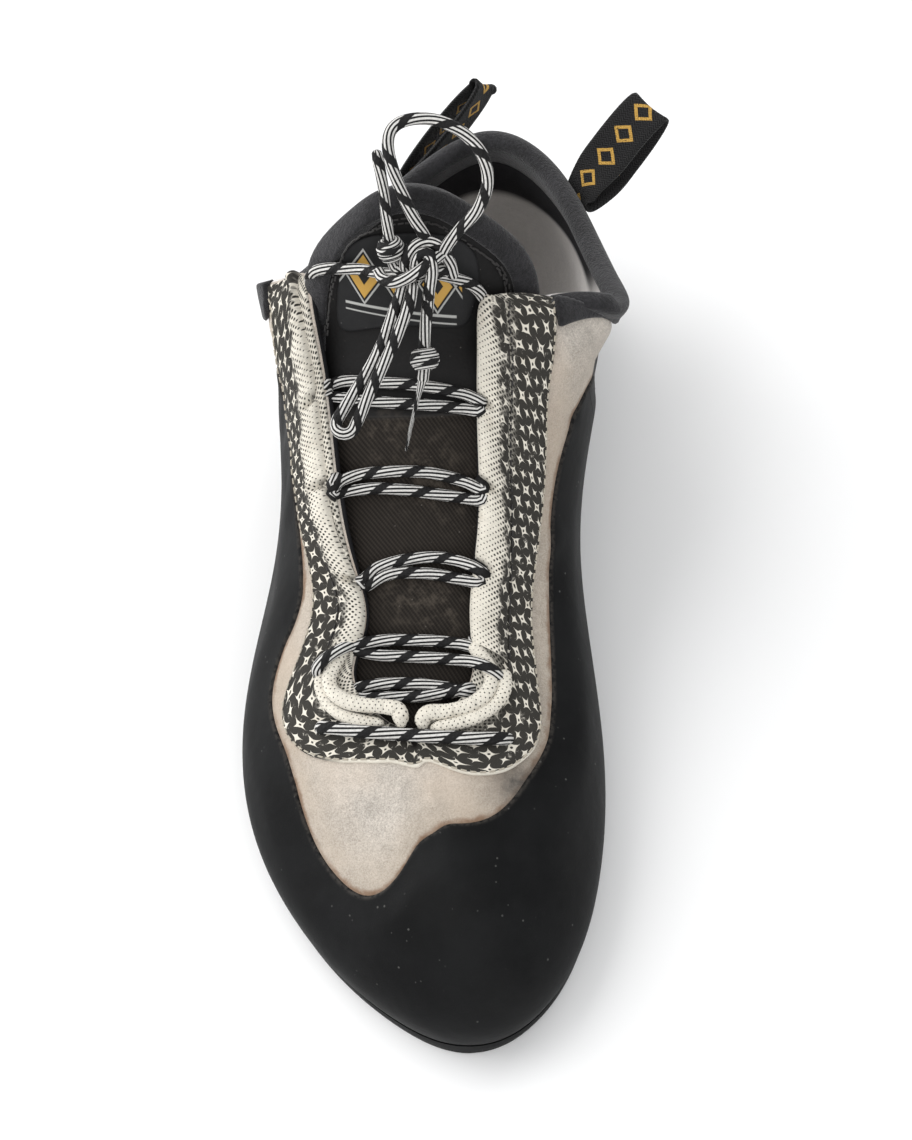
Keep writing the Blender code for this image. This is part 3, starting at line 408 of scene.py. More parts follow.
def smooth_route(route, spacing, ring=False):
    """Points at even spacing on a smooth curve through a route's own points."""
    points = np.array(route, float)
    if ring:
        points = np.concatenate([points[-1:], points, points[:2]])
    else:
        first, last = 2 * points[0] - points[1], 2 * points[-1] - points[-2]
        points = np.concatenate([[first], points, [last]])
    t = np.linspace(0, 1, 16, endpoint=False)[:, None]
    dense = []
    for a, b, c, d in zip(points, points[1:], points[2:], points[3:]):
        curve = 2 * b + (c - a) * t + (2 * a - 5 * b + 4 * c - d) * t**2
        dense.append((curve + (3 * b - a - 3 * c + d) * t**3) / 2)
    dense = np.concatenate(dense + [points[-2:-1]])
    length = walked(dense)
    count = max(4, round(length[-1] / spacing) + 1)
    stops = np.linspace(0, length[-1], count, endpoint=not ring)
    return np.stack([np.interp(stops, length, dense[:, axis]) for axis in range(3)], -1)


def from_toe(route):
    """A route given as x, back from the toe and z, in the last's own axes."""
    return np.array(route, float) - np.array([0, LENGTH / 2, 0])


def in_row(points):
    """The last's millimetres as metres in the row's frame."""
    return (np.asarray(points, float) - np.array([*BOX_MIDDLE, 0])) * MM


def carried(line):
    """Tangent, side and up directions along a line, turned as little as they can be."""
    tangent = unit(np.gradient(line, axis=0))
    side = np.cross(tangent[0], [0, 0, 1.0])
    if np.linalg.norm(side) < 1e-3:
        side = np.cross(tangent[0], [0, 1.0, 0])
    sides = [unit(side)]
    for way in tangent[1:]:
        last = sides[-1]
        sides.append(unit(last - way * (last @ way)))
    sides = np.array(sides)
    return tangent, sides, np.cross(tangent, sides)


def put(name, data):
    """A new object of the scene with this mesh, lamp or camera."""
    made = bpy.data.objects.new(name, data)
    bpy.context.scene.collection.objects.link(made)
    return made


class Piece:
    """Faces of one piece as they are gathered, with texture places in millimetres."""

    def __init__(self):
        self.points, self.faces, self.uvs, self.slots, self.values = [], [], [], [], {}
        self.count = 0

    def grid(self, points, uv=None, ring=False, around=False, caps=False, slot=0, **values):
        """Rows and columns of points. ring closes the rows on themselves, around the columns."""
        points = np.asarray(points, float)
        rows, columns = points.shape[:2]
        if uv is None:
            wide = np.append(walked(points[rows // 2]), 0)[: columns + around]
            wide[-1] = wide[-2] + 1 if around else wide[-1]
            long = np.append(walked(points[:, columns // 2]), 0)[: rows + ring]
            long[-1] = long[-2] + 1 if ring else long[-1]
            uv = np.stack(np.meshgrid(wide, long), -1)
        r = np.arange(rows if ring else rows - 1)
        c = np.arange(columns if around else columns - 1)
        r, c = (a.ravel() for a in np.meshgrid(r, c, indexing="ij"))
        rn, cn = (r + 1) % rows, (c + 1) % columns
        corners = (r * columns + c, r * columns + cn, rn * columns + cn, rn * columns + c)
        quads = np.stack(corners, -1) + self.count
        spots = np.stack([uv[r, c], uv[r, c + 1], uv[r + 1, c + 1], uv[r + 1, c]], 1)
        self.faces += quads.tolist()
        self.uvs.append(spots.reshape(-1, 2))
        self.slots += np.broadcast_to(slot, (rows, columns))[r, c].tolist()
        if caps:
            ends = (np.arange(columns), (rows - 1) * columns + np.arange(columns))
            for end, row in zip(ends, (0, rows - 1)):
                self.faces.append((end + self.count).tolist())
                self.uvs.append(np.asarray(uv)[row, :columns])
                self.slots.append(int(np.min(slot)))
        for name, value in values.items():
            spread = np.broadcast_to(value, (rows, columns)).ravel()
            self.values.setdefault(name, []).append((self.count, spread))
        self.points.append(points.reshape(-1, 3))
        self.count += rows * columns
        return self

    def object(self, name, *finishes, crisp=None):
        """The gathered faces as one mesh object in the row's frame."""
        mesh = bpy.data.meshes.new(name)
        mesh.from_pydata(in_row(np.concatenate(self.points)).tolist(), [], self.faces)
        layer = mesh.uv_layers.new(name="UVMap")
        layer.data.foreach_set("uv", np.concatenate(self.uvs).astype(np.float32).ravel())
        for value_name, parts in self.values.items():
            full = np.zeros(self.count, np.float32)
            for start, spread in parts:
                full[start : start + len(spread)] = spread
            mesh.attributes.new(value_name, "FLOAT", "POINT").data.foreach_set("value", full)
        for finish in finishes:
            mesh.materials.append(finish)
        mesh.polygons.foreach_set("material_index", self.slots)
        mesh.polygons.foreach_set("use_smooth", [True] * len(mesh.polygons))
        mesh.update()
        work = bmesh.new()
        work.from_mesh(mesh)
        bmesh.ops.recalc_face_normals(work, faces=work.faces)
        work.to_mesh(mesh)
        work.free()
        if crisp:
            mesh.set_sharp_from_angle(angle=math.radians(crisp))
        return put(name, mesh)


def dress(made, slot, *nodes):
    """The piece rides on the shoe and stands for its CAD nodes. Its slot is not used."""
    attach(made, "root")
    if nodes:
        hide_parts(*nodes)
    return made


DOMES = np.array([0.999, 0.9, 0.62, 0.3])


def sweep(piece, line, radius, around=16, flat=1.0, **values):
    """A round or flattened tube along a line, with rounded ends."""
    radius = np.broadcast_to(np.asarray(radius, float), (len(line),)).copy()
    ways = carried(line)
    over = radius[[0, -1]] * 0.8
    head = [line[0] - ways[0][0] * over[0] * d for d in DOMES]
    tail = [line[-1] + ways[0][-1] * over[1] * d for d in DOMES[::-1]]
    dome_radius = np.sqrt(1 - DOMES**2)
    line = np.concatenate([head, line, tail])
    radius = np.concatenate([radius[0] * dome_radius, radius, radius[-1] * dome_radius[::-1]])
    count = len(DOMES)
    _, side, up = (np.concatenate([np.repeat(a[:1], count, 0), a, np.repeat(a[-1:], count, 0)]) for a in ways)
    turns = np.linspace(0, 2 * math.pi, around, endpoint=False)[:, None]
    rings = side[:, None] * np.cos(turns) + up[:, None] * np.sin(turns) * flat
    points = line[:, None] + rings * radius[:, None, None]
    uv = np.stack(np.meshgrid(np.linspace(0, 1, around + 1), walked(line)), -1)
    piece.grid(points, uv, around=True, caps=True, **values)


def skin_loop(places, low, high, inner, outer, rows, edge=1.0, hidden=5):
    """Heights and outward lines of a skin's closed section, rounded at both edges."""
    length = section_length(places)[:, None]
    low, high = low[:, None], high[:, None]
    turn = np.linspace(0, math.pi / 2, 5)[None]
    cut = np.minimum(edge / length, (high - low) * 0.3)
    first, last = low + cut, high - cut
    share = np.linspace(0, 1, rows)[None, 1:-1]
    up = np.hstack(
        [
            low + cut * (1 - np.cos(turn)),
            first + (last - first) * share,
            high - cut * (1 - np.cos(turn[:, ::-1])),
        ]
    )
    round_off = np.hstack([np.sin(turn), 0 * share + 1, np.sin(turn[:, ::-1])])
    thick = outer((high - up) * length) if callable(outer) else outer
    out = inner + (thick - inner) * round_off + 0 * up
    back = high + (low - high) * np.linspace(0, 1, hidden + 2)[None, 1:-1]
    heights = np.hstack([up, back])
    outward = np.hstack([out, np.full_like(back, inner)])
    return heights, outward


def ring_places(start, end, step):
    return np.linspace(start, end, max(3, round((end - start) / step) + 1))


def around_ring(places, heights=0.9):
    """Millimetres along the form at a height, for texture places."""
    return walked(form_at(places, 0 * places + heights))


def loft_uv(places, heights):
    """Texture places of a closed loft: along the ring, and up the section, both in millimetres."""
    along = around_ring(places)
    length = section_length(places)[:, None]
    up = (heights - heights[:, :1]) * length
    up = np.hstack([up, up[:, :1]])
    return np.stack([np.repeat(along[:, None], up.shape[1], 1), up], -1)


def measure(name, description, default, low, high, unit="LENGTH"):
    return FloatProperty(name=name, description=description, default=default, min=low, max=high, unit=unit)


class ShoeSizes(bpy.types.PropertyGroup):
    """Sizes that change how the dressing looks."""

    lace: measure("Lace", "Diameter of the round lace", 0.003, 0.0015, 0.0045)
    webbing: measure("Webbing", "Width of the pull loops", 0.0125, 0.006, 0.02)
    star_cell: measure("Star cell", "Width of one star of the print in millimetres", 5.2, 2.0, 10.0, "NONE")
    dot_pitch: measure("Dot pitch", "Distance between the print's dots in millimetres", 1.4, 0.5, 3.0, "NONE")
    stitch: measure("Stitch", "Length of a stitch with its gap", 0.0024, 0.001, 0.006)
    thread: measure("Thread", "Diameter of the sewing thread", 0.0005, 0.0002, 0.0012)


def colour(name, description, default):
    return FloatVectorProperty(
        name=name, description=description, subtype="COLOR", size=3, min=0.0, max=1.0, default=default
    )


class ShoeColours(bpy.types.PropertyGroup):
    """Colours of the shoe's materials, in linear light."""

    suede: colour("Suede", "Napped leather of the upper", (0.500, 0.452, 0.398))
    glue: colour("Glue stain", "Stain along the rubber's edge", (0.200, 0.118, 0.068))
    rubber: colour("Rubber", "Sole and rands", (0.0050, 0.0052, 0.0055))
    cream: colour("Cream cloth", "Ground of the printed cloth", (0.760, 0.718, 0.628))
    ink: colour("Ink", "Dots and shapes of the printed cloth", (0.0125, 0.0115, 0.0105))
    tongue: colour("Tongue", "Twill of the tongue", (0.0175, 0.0145, 0.0120))
    fleece: colour("Fleece", "Napped edge of collar and tongue", (0.0150, 0.0145, 0.0160))
    lining: colour("Lining", "Inside of the upper", (0.720, 0.690, 0.665))
    webbing: colour("Webbing", "Pull loops", (0.0120, 0.0118, 0.0120))
    gold: colour("Gold", "Woven marks on the loops and the badge", (0.560, 0.330, 0.075))
    lace_dark: colour("Lace ground", "Dark yarn of the lace", (0.0085, 0.0082, 0.0085))
    lace_light: colour("Lace lines", "Pale yarn of the lace", (0.600, 0.590, 0.570))


class Finish:
    """A material or node group with short calls for the nodes that it uses."""

    def __init__(self, name, tree=None):
        self.tree = tree
        if tree is None:
            self.material = bpy.data.materials.new(name)
            self.material.use_nodes = True
            self.tree = self.material.node_tree
            self.shader = self.tree.nodes["Principled BSDF"]

    def feed(self, socket, value):
        if isinstance(value, bpy.types.NodeSocket):
            self.tree.links.new(value, socket)
        elif value is not None:
            if socket.type == "RGBA" and len(value) == 3:
                value = (*value, 1)
            socket.default_value = value

    def node(self, kind, *values, **settings):
        whole = kind.startswith(("Node", "GeometryNode", "FunctionNode"))
        made = self.tree.nodes.new(kind if whole else "ShaderNode" + kind)
        for key, value in settings.items():
            setattr(made, key, value)
        for socket, value in zip(made.inputs, values):
            self.feed(socket, value)
        return made

    def math(self, operation, a, b=None, c=None, clamp=False):
        made = self.node("Math", operation=operation, use_clamp=clamp)
        for socket, value in zip(made.inputs, (a, b, c)):
            self.feed(socket, value)
        return made.outputs[0]

    def times(self, *values, **how):
        return self.math("MULTIPLY", *values, **how)

    def plus(self, a, b):
        return self.math("ADD", a, b)

    def minus(self, a, b, **how):
        return self.math("SUBTRACT", a, b, **how)

    def over(self, a, b):
        return self.math("DIVIDE", a, b)

    def scaled(self, a, share, more, **how):
        return self.math("MULTIPLY_ADD", a, share, more, **how)

    def most(self, a, b, **how):
        return self.math("MAXIMUM", a, b, **how)

    def size(self, a):
        return self.math("ABSOLUTE", a)

    def part(self, a):
        return self.math("FRACT", a)

    def sine(self, a):
        return self.math("SINE", a)

    def vector(self, operation, a, b=None, scale=None):
        made = self.node("VectorMath", operation=operation)
        self.feed(made.inputs[0], a)
        self.feed(made.inputs[1], b)
        if scale is not None:
            self.feed(made.inputs["Scale"], scale)
        return made.outputs["Value" if operation == "LENGTH" else "Vector"]

    def step(self, value, low, high):
        """0 to 1 as the value goes from low to high, which may be the smaller."""
        made = self.node("MapRange", interpolation_type="SMOOTHSTEP")
        self.feed(made.inputs["Value"], value)
        self.feed(made.inputs["From Min"], low)
        self.feed(made.inputs["From Max"], high)
        return made.outputs[0]

    def mix(self, share, a, b):
        made = self.node("Mix", data_type="RGBA")
        self.feed(made.inputs[0], share)
        self.feed(made.inputs[6], a)
        self.feed(made.inputs[7], b)
        return made.outputs[2]

    def between(self, share, a, b):
        made = self.node("Mix", data_type="FLOAT")
        self.feed(made.inputs[0], share)
        self.feed(made.inputs[2], a)
        self.feed(made.inputs[3], b)
        return made.outputs[0]

    def object_mm(self):
        """Object coordinates in millimetres."""
        return self.vector("SCALE", self.node("TexCoord").outputs["Object"], scale=1000)

    def uv_mm(self):
        parts = self.node("SeparateXYZ", self.node("UVMap", uv_map="UVMap").outputs[0])
        return parts.outputs[0], parts.outputs[1]

    def join(self, x, y, z=0.0):
        return self.node("CombineXYZ", x, y, z).outputs[0]

    def value(self, name):
        return self.node("Attribute", attribute_name=name).outputs["Fac"]

    def noise(self, where, scale, detail=3.0, rough=0.55):
        made = self.node("TexNoise")
        for name, value in (("Vector", where), ("Scale", scale), ("Detail", detail), ("Roughness", rough)):
            self.feed(made.inputs[name], value)
        return made.outputs[0]

    def cells(self, where, scale, feature="F1"):
        made = self.node("TexVoronoi", feature=feature)
        self.feed(made.inputs["Vector"], where)
        self.feed(made.inputs["Scale"], scale)
        return made.outputs["Distance"]

    def group(self, name, **values):
        made = self.node("Group")
        made.node_tree = bpy.data.node_groups[name]
        for key, value in values.items():
            self.feed(made.inputs[key], value)
        return made.outputs

    def bump(self, height, depth, before=None):
        """A normal from heights of 0 to 1 that stand for this many millimetres."""
        made = self.node("Bump")
        made.inputs["Strength"].default_value = 1.0
        made.inputs["Distance"].default_value = depth * MM
        self.feed(made.inputs["Height"], height)
        self.feed(made.inputs["Normal"], before)
        return made.outputs[0]

    def done(self, colour, roughness, normal=None, **constants):
        self.feed(self.shader.inputs["Base Color"], colour)
        self.feed(self.shader.inputs["Roughness"], roughness)
        self.feed(self.shader.inputs["Normal"], normal)
        for key, value in constants.items():
            self.feed(self.shader.inputs[key.replace("_", " ")], value)
        return self.material


def new_group(name, takes, gives, sort="ShaderNodeTree"):
    """A node group with these sockets, and the sockets inside it."""
    tree = bpy.data.node_groups.new(name, sort)
    for socket, kind, default in takes:
        made = tree.interface.new_socket(socket, in_out="INPUT", socket_type="NodeSocket" + kind)
        if default is not None:
            made.default_value = default
    for socket, kind in gives:
        tree.interface.new_socket(socket, in_out="OUTPUT", socket_type="NodeSocket" + kind)
    work = Finish(name, tree)
    return work, work.node("NodeGroupInput").outputs, work.node("NodeGroupOutput").inputs


def make_groups():
    """The effects that several materials share."""
    # Fine nap: bright and dark specks with slower clouds between them
    work, takes, gives = new_group(
        "nap",
        [("Where", "Vector", None), ("Speck", "Float", 1.6), ("Cloud", "Float", 0.06)],
        [("Height", "Float"), ("Shade", "Float")],
    )
    fine = work.noise(takes["Where"], takes["Speck"], 4, 0.7)
    cloud = work.noise(takes["Where"], takes["Cloud"], 3, 0.5)
    patch = work.noise(takes["Where"], work.times(takes["Cloud"], 5.5), 2, 0.5)
    work.feed(gives["Height"], fine)
    shade = work.plus(work.times(fine, 0.42), work.times(cloud, 0.34))
    work.feed(gives["Shade"], work.plus(shade, work.times(patch, 0.24)))

    # Dust: specks, with more of them where a slow cloud allows it
    work, takes, gives = new_group(
        "dust",
        [("Where", "Vector", None), ("Size", "Float", 0.9), ("Amount", "Float", 0.3)],
        [("Mask", "Float"), ("Film", "Float")],
    )
    speck = work.cells(takes["Where"], takes["Size"])
    cloud = work.noise(takes["Where"], 0.045, 4, 0.6)
    few = work.noise(takes["Where"], work.times(takes["Size"], 0.55), 1, 0.5)
    dots = work.times(work.step(speck, 0.16, 0.07), work.step(few, 0.58, 0.66))
    work.feed(gives["Mask"], work.times(dots, takes["Amount"]))
    work.feed(gives["Film"], work.times(work.step(cloud, 0.42, 0.75), takes["Amount"]))

    # Plain weave of a cloth, from texture places in millimetres
    work, takes, gives = new_group(
        "weave",
        [("U", "Float", 0.0), ("V", "Float", 0.0), ("Pitch", "Float", 0.6)],
        [("Height", "Float")],
    )
    ways = []
    for name in ("U", "V"):
        turn = work.times(work.over(takes[name], takes["Pitch"]), 2 * math.pi)
        ways.append(work.sine(turn))
    over = work.times(ways[0], ways[1])
    work.feed(gives["Height"], work.scaled(over, 0.5, 0.5))

    # Printed cloth: slender four-pointed stars with a dot, on an inked ground that breaks up into
    # a screen of dots
    work, takes, gives = new_group(
        "star_print",
        [
            ("U", "Float", 0.0),
            ("V", "Float", 0.0),
            ("Ground", "Float", 1.0),
            ("Cell", "Float", 4.6),
            ("Dots", "Float", 0.9),
        ],
        [("Ink", "Float")],
    )
    where = work.join(takes["U"], takes["V"])
    wobble = work.noise(where, 0.35, 1, 0.5)
    side = work.noise(work.vector("ADD", where, (31.0, 17.0, 5.0)), 0.35, 1, 0.5)
    u = work.plus(takes["U"], work.times(work.minus(wobble, 0.5), 1.5))
    v = work.plus(takes["V"], work.times(work.minus(side, 0.5), 1.5))
    a = work.over(work.plus(u, work.times(v, 0.42)), takes["Cell"])
    b = work.over(work.minus(v, work.times(u, 0.36)), takes["Cell"])

    def star(shift, turn, power):
        """A cell's star, turned its own way: summed powers of both distances from its middle."""
        cell = [work.plus(axis, shift) for axis in (a, b)]
        corner = work.join(*(work.math("FLOOR", axis) for axis in cell))
        own = work.node("TexWhiteNoise", corner, noise_dimensions="3D").outputs[0]
        middle = work.join(*(work.minus(work.part(axis), 0.5) for axis in cell))
        angle = work.times(work.minus(own, 0.5), turn)
        turned = work.node("VectorRotate", rotation_type="Z_AXIS")
        work.feed(turned.inputs["Vector"], middle)
        work.feed(turned.inputs["Angle"], angle)
        parts = work.node("SeparateXYZ", turned.outputs[0]).outputs
        total = work.plus(*(work.math("POWER", work.size(parts[axis]), power) for axis in (0, 1)))
        return total, work.vector("LENGTH", middle)

    large, large_round = star(0.0, 0.6, 0.47)
    little, _ = star(0.5, 1.5, 0.47)
    dot = work.step(large_round, 0.072, 0.05)
    pale = work.most(work.step(large, 0.712, 0.675), work.step(little, 0.60, 0.555))
    pale = work.minus(pale, dot, clamp=True)
    shapes = work.minus(1.0, pale, clamp=True)
    screen_u = work.over(work.plus(takes["U"], takes["V"]), takes["Dots"])
    screen_v = work.over(work.minus(takes["V"], takes["U"]), takes["Dots"])
    screen = []
    for axis in (screen_u, screen_v):
        screen.append(work.size(work.minus(work.part(axis), 0.5)))
    screen_round = work.math("SQRT", work.plus(*(work.times(s, s) for s in screen)))
    broken = work.noise(where, 0.9, 2, 0.6)
    cover = work.scaled(work.minus(broken, 0.5), 0.55, takes["Ground"])
    reach = work.scaled(cover, 0.44, -0.02)
    dots = work.step(screen_round, work.plus(reach, 0.05), work.minus(reach, 0.05))
    starry = work.step(takes["Ground"], 0.74, 0.92)
    inked = work.times(shapes, work.between(starry, dots, 1.0))
    thin = work.times(dots, work.between(starry, 1.0, 0.0))
    work.feed(gives["Ink"], work.most(inked, thin, clamp=True))


def shades(colour, *shares):
    """The colour made darker or lighter by each share."""
    return [[c * share for c in colour] for share in shares]


def suede_finish(colours):
    work = Finish("suede_nap")
    where = work.object_mm()
    nap = work.group("nap", Where=where, Speck=1.5, Cloud=0.07)
    tone = work.mix(work.step(nap["Shade"], 0.36, 0.64), *shades(colours.suede, 0.70, 1.20))
    speck = work.step(work.noise(where, 2.6, 2, 0.7), 0.36, 0.64)
    tone = work.mix(0.30, tone, work.mix(speck, (0.25, 0.22, 0.19), (0.78, 0.73, 0.66)))
    warm = work.noise(where, 0.035, 2, 0.5)
    tone = work.mix(work.times(work.step(warm, 0.42, 0.66), 0.5), tone, (0.52, 0.42, 0.33))
    edge = work.plus(work.value("to_rubber"), work.times(work.minus(work.noise(where, 0.3, 3, 0.6), 0.5), 2.4))
    haze = work.times(work.step(edge, 20.0, 0.0), 0.46)
    tone = work.mix(haze, tone, (0.330, 0.262, 0.190))
    wet = work.step(work.noise(where, 0.11, 3, 0.6), 0.30, 0.62)
    stain = work.times(work.step(edge, 1.9, 0.4), work.scaled(wet, 0.65, 0.25))
    tone = work.mix(stain, tone, colours.glue)
    blotch = work.scaled(work.noise(where, 0.5, 4, 0.7), 1.1, 0.25)
    smudge = work.times(work.value("smudge"), blotch, clamp=True)
    tone = work.mix(smudge, tone, (0.060, 0.055, 0.050))
    hem = work.step(work.size(work.value("hem")), 0.45, 0.12)
    tone = work.mix(work.times(hem, 0.45), tone, (0.16, 0.13, 0.105))
    rough = work.between(nap["Shade"], 0.98, 0.86)
    normal = work.bump(nap["Height"], 0.34)
    normal = work.bump(work.noise(where, 0.22, 3, 0.5), 0.5, normal)
    normal = work.bump(work.minus(1.0, hem), 0.35, normal)
    return work.done(tone, rough, normal, Sheen_Weight=0.18, Sheen_Roughness=0.6, Specular_IOR_Level=0.2)


def lining_finish(colours):
    work = Finish("lining_cloth")
    where = work.object_mm()
    nap = work.group("nap", Where=where, Speck=1.1, Cloud=0.05)
    tone = work.mix(nap["Shade"], *shades(colours.lining, 0.7, 1.2))
    # Near black: the dark heel pad, and painted shade on the lining at the throat's edge.
    dark = work.mix(nap["Shade"], (0.008, 0.008, 0.009), (0.024, 0.023, 0.026))
    tone = work.mix(work.value("heel_pad"), tone, dark)
    return work.done(tone, 0.95, work.bump(nap["Height"], 0.3), Specular_IOR_Level=0.2)


def rubber_finish(colours):
    work = Finish("rubber_matt")
    where = work.object_mm()
    dust = work.group("dust", Where=where, Size=0.42, Amount=0.32)
    fine = work.noise(where, 2.2, 3, 0.6)
    slow = work.noise(where, 0.05, 3, 0.6)
    tone = work.mix(work.step(slow, 0.3, 0.75), *shades(colours.rubber, 0.85, 1.55))
    scuff_where = work.vector("MULTIPLY", where, (0.5, 0.09, 0.3))
    scuff = work.times(work.step(work.noise(scuff_where, 1.3, 5, 0.7), 0.66, 0.74), work.step(slow, 0.4, 0.65))
    tone = work.mix(work.times(scuff, 0.16), tone, (0.08, 0.08, 0.079))
    tone = work.mix(dust["Mask"], tone, (0.20, 0.20, 0.19))
    tone = work.mix(work.times(dust["Film"], 0.12), tone, (0.085, 0.083, 0.080))
    lip = work.step(work.value("to_edge"), 1.4, 0.2)
    ragged = work.step(work.noise(where, 0.8, 3, 0.6), 0.35, 0.6)
    tone = work.mix(work.times(work.times(lip, ragged), 0.42), tone, (0.075, 0.066, 0.058))
    rough = work.plus(work.times(slow, 0.16), work.times(dust["Film"], 0.2))
    rough = work.plus(rough, 0.47)
    normal = work.bump(fine, 0.05)
    normal = work.bump(work.noise(where, 0.12, 2, 0.5), 0.32, normal)
    return work.done(tone, rough, normal, Specular_IOR_Level=0.10)


def print_finish(colours, sizes, name, sleeve):
    """The printed cloth: the star band, or the sleeves, where the dots thin out."""
    work = Finish(name)
    u, v = work.uv_mm()
    where = work.object_mm()
    if sleeve:
        drift = work.times(work.minus(work.noise(where, 0.10, 2, 0.5), 0.5), 3.2)
        ground = work.between(work.step(work.plus(v, drift), 0.5, 8.5), 0.84, 0.24)
        fade = work.step(work.noise(where, 0.14, 3, 0.6), 0.28, 0.62)
        ground = work.plus(ground, work.times(fade, 0.16))
    else:
        ground = work.between(work.step(v, 7.0, 17.0), 1.0, 0.78)
    ink = work.group("star_print", U=u, V=v, Ground=ground, Cell=sizes.star_cell, Dots=sizes.dot_pitch)["Ink"]
    worn = work.noise(where, 0.55, 4, 0.65)
    ink = work.times(ink, work.step(worn, 0.22, 0.40))
    ground_tone = work.mix(work.noise(where, 0.12, 3, 0.6), *shades(colours.cream, 0.78, 1.04))
    soil = work.times(work.step(work.noise(where, 0.21, 4, 0.6), 0.52, 0.78), 0.30)
    ground_tone = work.mix(soil, ground_tone, (0.34, 0.28, 0.20))
    tone = work.mix(work.times(ink, 0.96), ground_tone, colours.ink)
    # Painted shade: slits and the sleeves' open ends are painted near black where their insides lie in shade.
    hole = work.value("hole")
    tone = work.mix(hole, tone, (0.012, 0.010, 0.009))
    if not sleeve:
        hem = work.times(work.step(v, 0.85, 0.6), work.value("rim"))
        tone = work.mix(hem, tone, ground_tone)
    weave = work.group("weave", U=u, V=v, Pitch=0.62)["Height"]
    normal = work.bump(weave, 0.07)
    crumple = work.noise(work.vector("MULTIPLY", work.join(u, v), (1.0, 0.34, 1.0)), 0.42, 4, 0.55)
    normal = work.bump(crumple, 1.6 if sleeve else 0.45, normal)
    return work.done(tone, 0.86, normal, Specular_IOR_Level=0.12, Sheen_Weight=0.03)


def fleece_finish(colours):
    work = Finish("fleece_nap")
    where = work.object_mm()
    nap = work.group("nap", Where=where, Speck=1.25, Cloud=0.09)
    tone = work.mix(work.step(nap["Shade"], 0.34, 0.66), *shades(colours.fleece, 0.55, 1.9))
    dust = work.group("dust", Where=where, Size=0.8, Amount=0.25)
    tone = work.mix(dust["Mask"], tone, (0.24, 0.23, 0.22))
    normal = work.bump(nap["Height"], 0.5)
    return work.done(tone, 0.97, normal, Sheen_Weight=0.22, Sheen_Roughness=0.55, Specular_IOR_Level=0.15)


def tongue_finish(colours):
    """Ribbed twill below a smooth patch."""
    work = Finish("tongue_cloth")
    where = work.object_mm()
    u, v = work.uv_mm()
    ribs = work.scaled(v, 0.62, work.times(u, 0.78))
    across = work.sine(work.times(ribs, 2 * math.pi / 0.95))
    along = work.sine(work.times(work.minus(v, u), 2 * math.pi / 0.8))
    twill = work.scaled(across, 0.36, work.scaled(along, 0.14, 0.5))
    patch = work.step(work.value("patch"), -0.25, 0.25)
    grain = work.cells(where, 1.1, feature="SMOOTH_F1")
    tone = work.mix(twill, *shades(colours.tongue, 0.55, 1.75))
    tone = work.mix(patch, tone, (0.0085, 0.0080, 0.0080))
    edge = work.step(work.size(work.value("patch")), 0.75, 0.1)
    tone = work.mix(work.times(edge, 0.3), tone, (0.05, 0.046, 0.043))
    chalk = work.times(work.value("dusty"), work.step(work.noise(where, 0.28, 4, 0.65), 0.45, 0.72))
    tone = work.mix(work.times(chalk, 0.30), tone, (0.150, 0.125, 0.100))
    lint = work.group("dust", Where=where, Size=0.6, Amount=0.35)
    tone = work.mix(lint["Mask"], tone, (0.20, 0.18, 0.16))
    height = work.between(patch, twill, work.times(grain, 0.5))
    normal = work.bump(height, 0.16)
    normal = work.bump(patch, 0.5, normal)
    return work.done(tone, work.between(patch, 0.93, 0.62), normal, Specular_IOR_Level=0.2)


def badge_finish(colours):
    """A smooth patch with a row of gold lozenges over two pale lines."""
    work = Finish("badge_print")
    where = work.object_mm()
    u, v = work.uv_mm()

    def band(low, high):
        return work.times(work.step(v, low - 0.12, low + 0.12), work.step(v, high + 0.12, high - 0.12))

    def within(limit):
        return work.step(work.size(u), limit + 0.12, limit - 0.12)

    pitch = 9.2
    cell = work.minus(work.part(work.plus(work.over(u, pitch), 0.5)), 0.5)
    far = work.size(work.times(cell, pitch))
    high = work.size(work.minus(v, -0.4))
    lozenge = work.plus(work.over(far, 3.8), work.over(high, 5.8))
    gold = work.times(work.step(lozenge, 1.03, 0.97), within(15.4))
    heart = work.times(work.step(lozenge, 0.42, 0.36), within(15.4))
    keyline = work.times(work.step(work.size(work.minus(lozenge, 1.22)), 0.09, 0.05), within(15.5))
    pale = work.times(work.most(band(-8.4, -7.7), band(-10.0, -9.6)), within(14.0))
    pale = work.most(pale, keyline)
    tone = work.mix(work.noise(where, 0.3, 3, 0.5), (0.0105, 0.0105, 0.0110), (0.021, 0.021, 0.022))
    tone = work.mix(gold, tone, colours.gold)
    tone = work.mix(heart, tone, (0.0105, 0.0105, 0.0110))
    tone = work.mix(work.times(pale, 0.85), tone, (0.52, 0.52, 0.50))
    lint = work.group("dust", Where=where, Size=0.7, Amount=0.4)
    tone = work.mix(lint["Mask"], tone, (0.2, 0.2, 0.2))
    mark = work.most(gold, pale)
    normal = work.bump(work.noise(where, 1.4, 3, 0.5), 0.05)
    normal = work.bump(mark, 0.12, normal)
    return work.done(tone, work.between(mark, 0.62, 0.45), normal, Specular_IOR_Level=0.2)


def insole_finish():
    work = Finish("insole_felt")
    where = work.object_mm()
    nap = work.group("nap", Where=where, Speck=1.0, Cloud=0.06)
    tone = work.mix(nap["Shade"], (0.085, 0.075, 0.066), (0.235, 0.212, 0.188))
    return work.done(tone, 0.95, work.bump(nap["Height"], 0.3), Specular_IOR_Level=0.2)


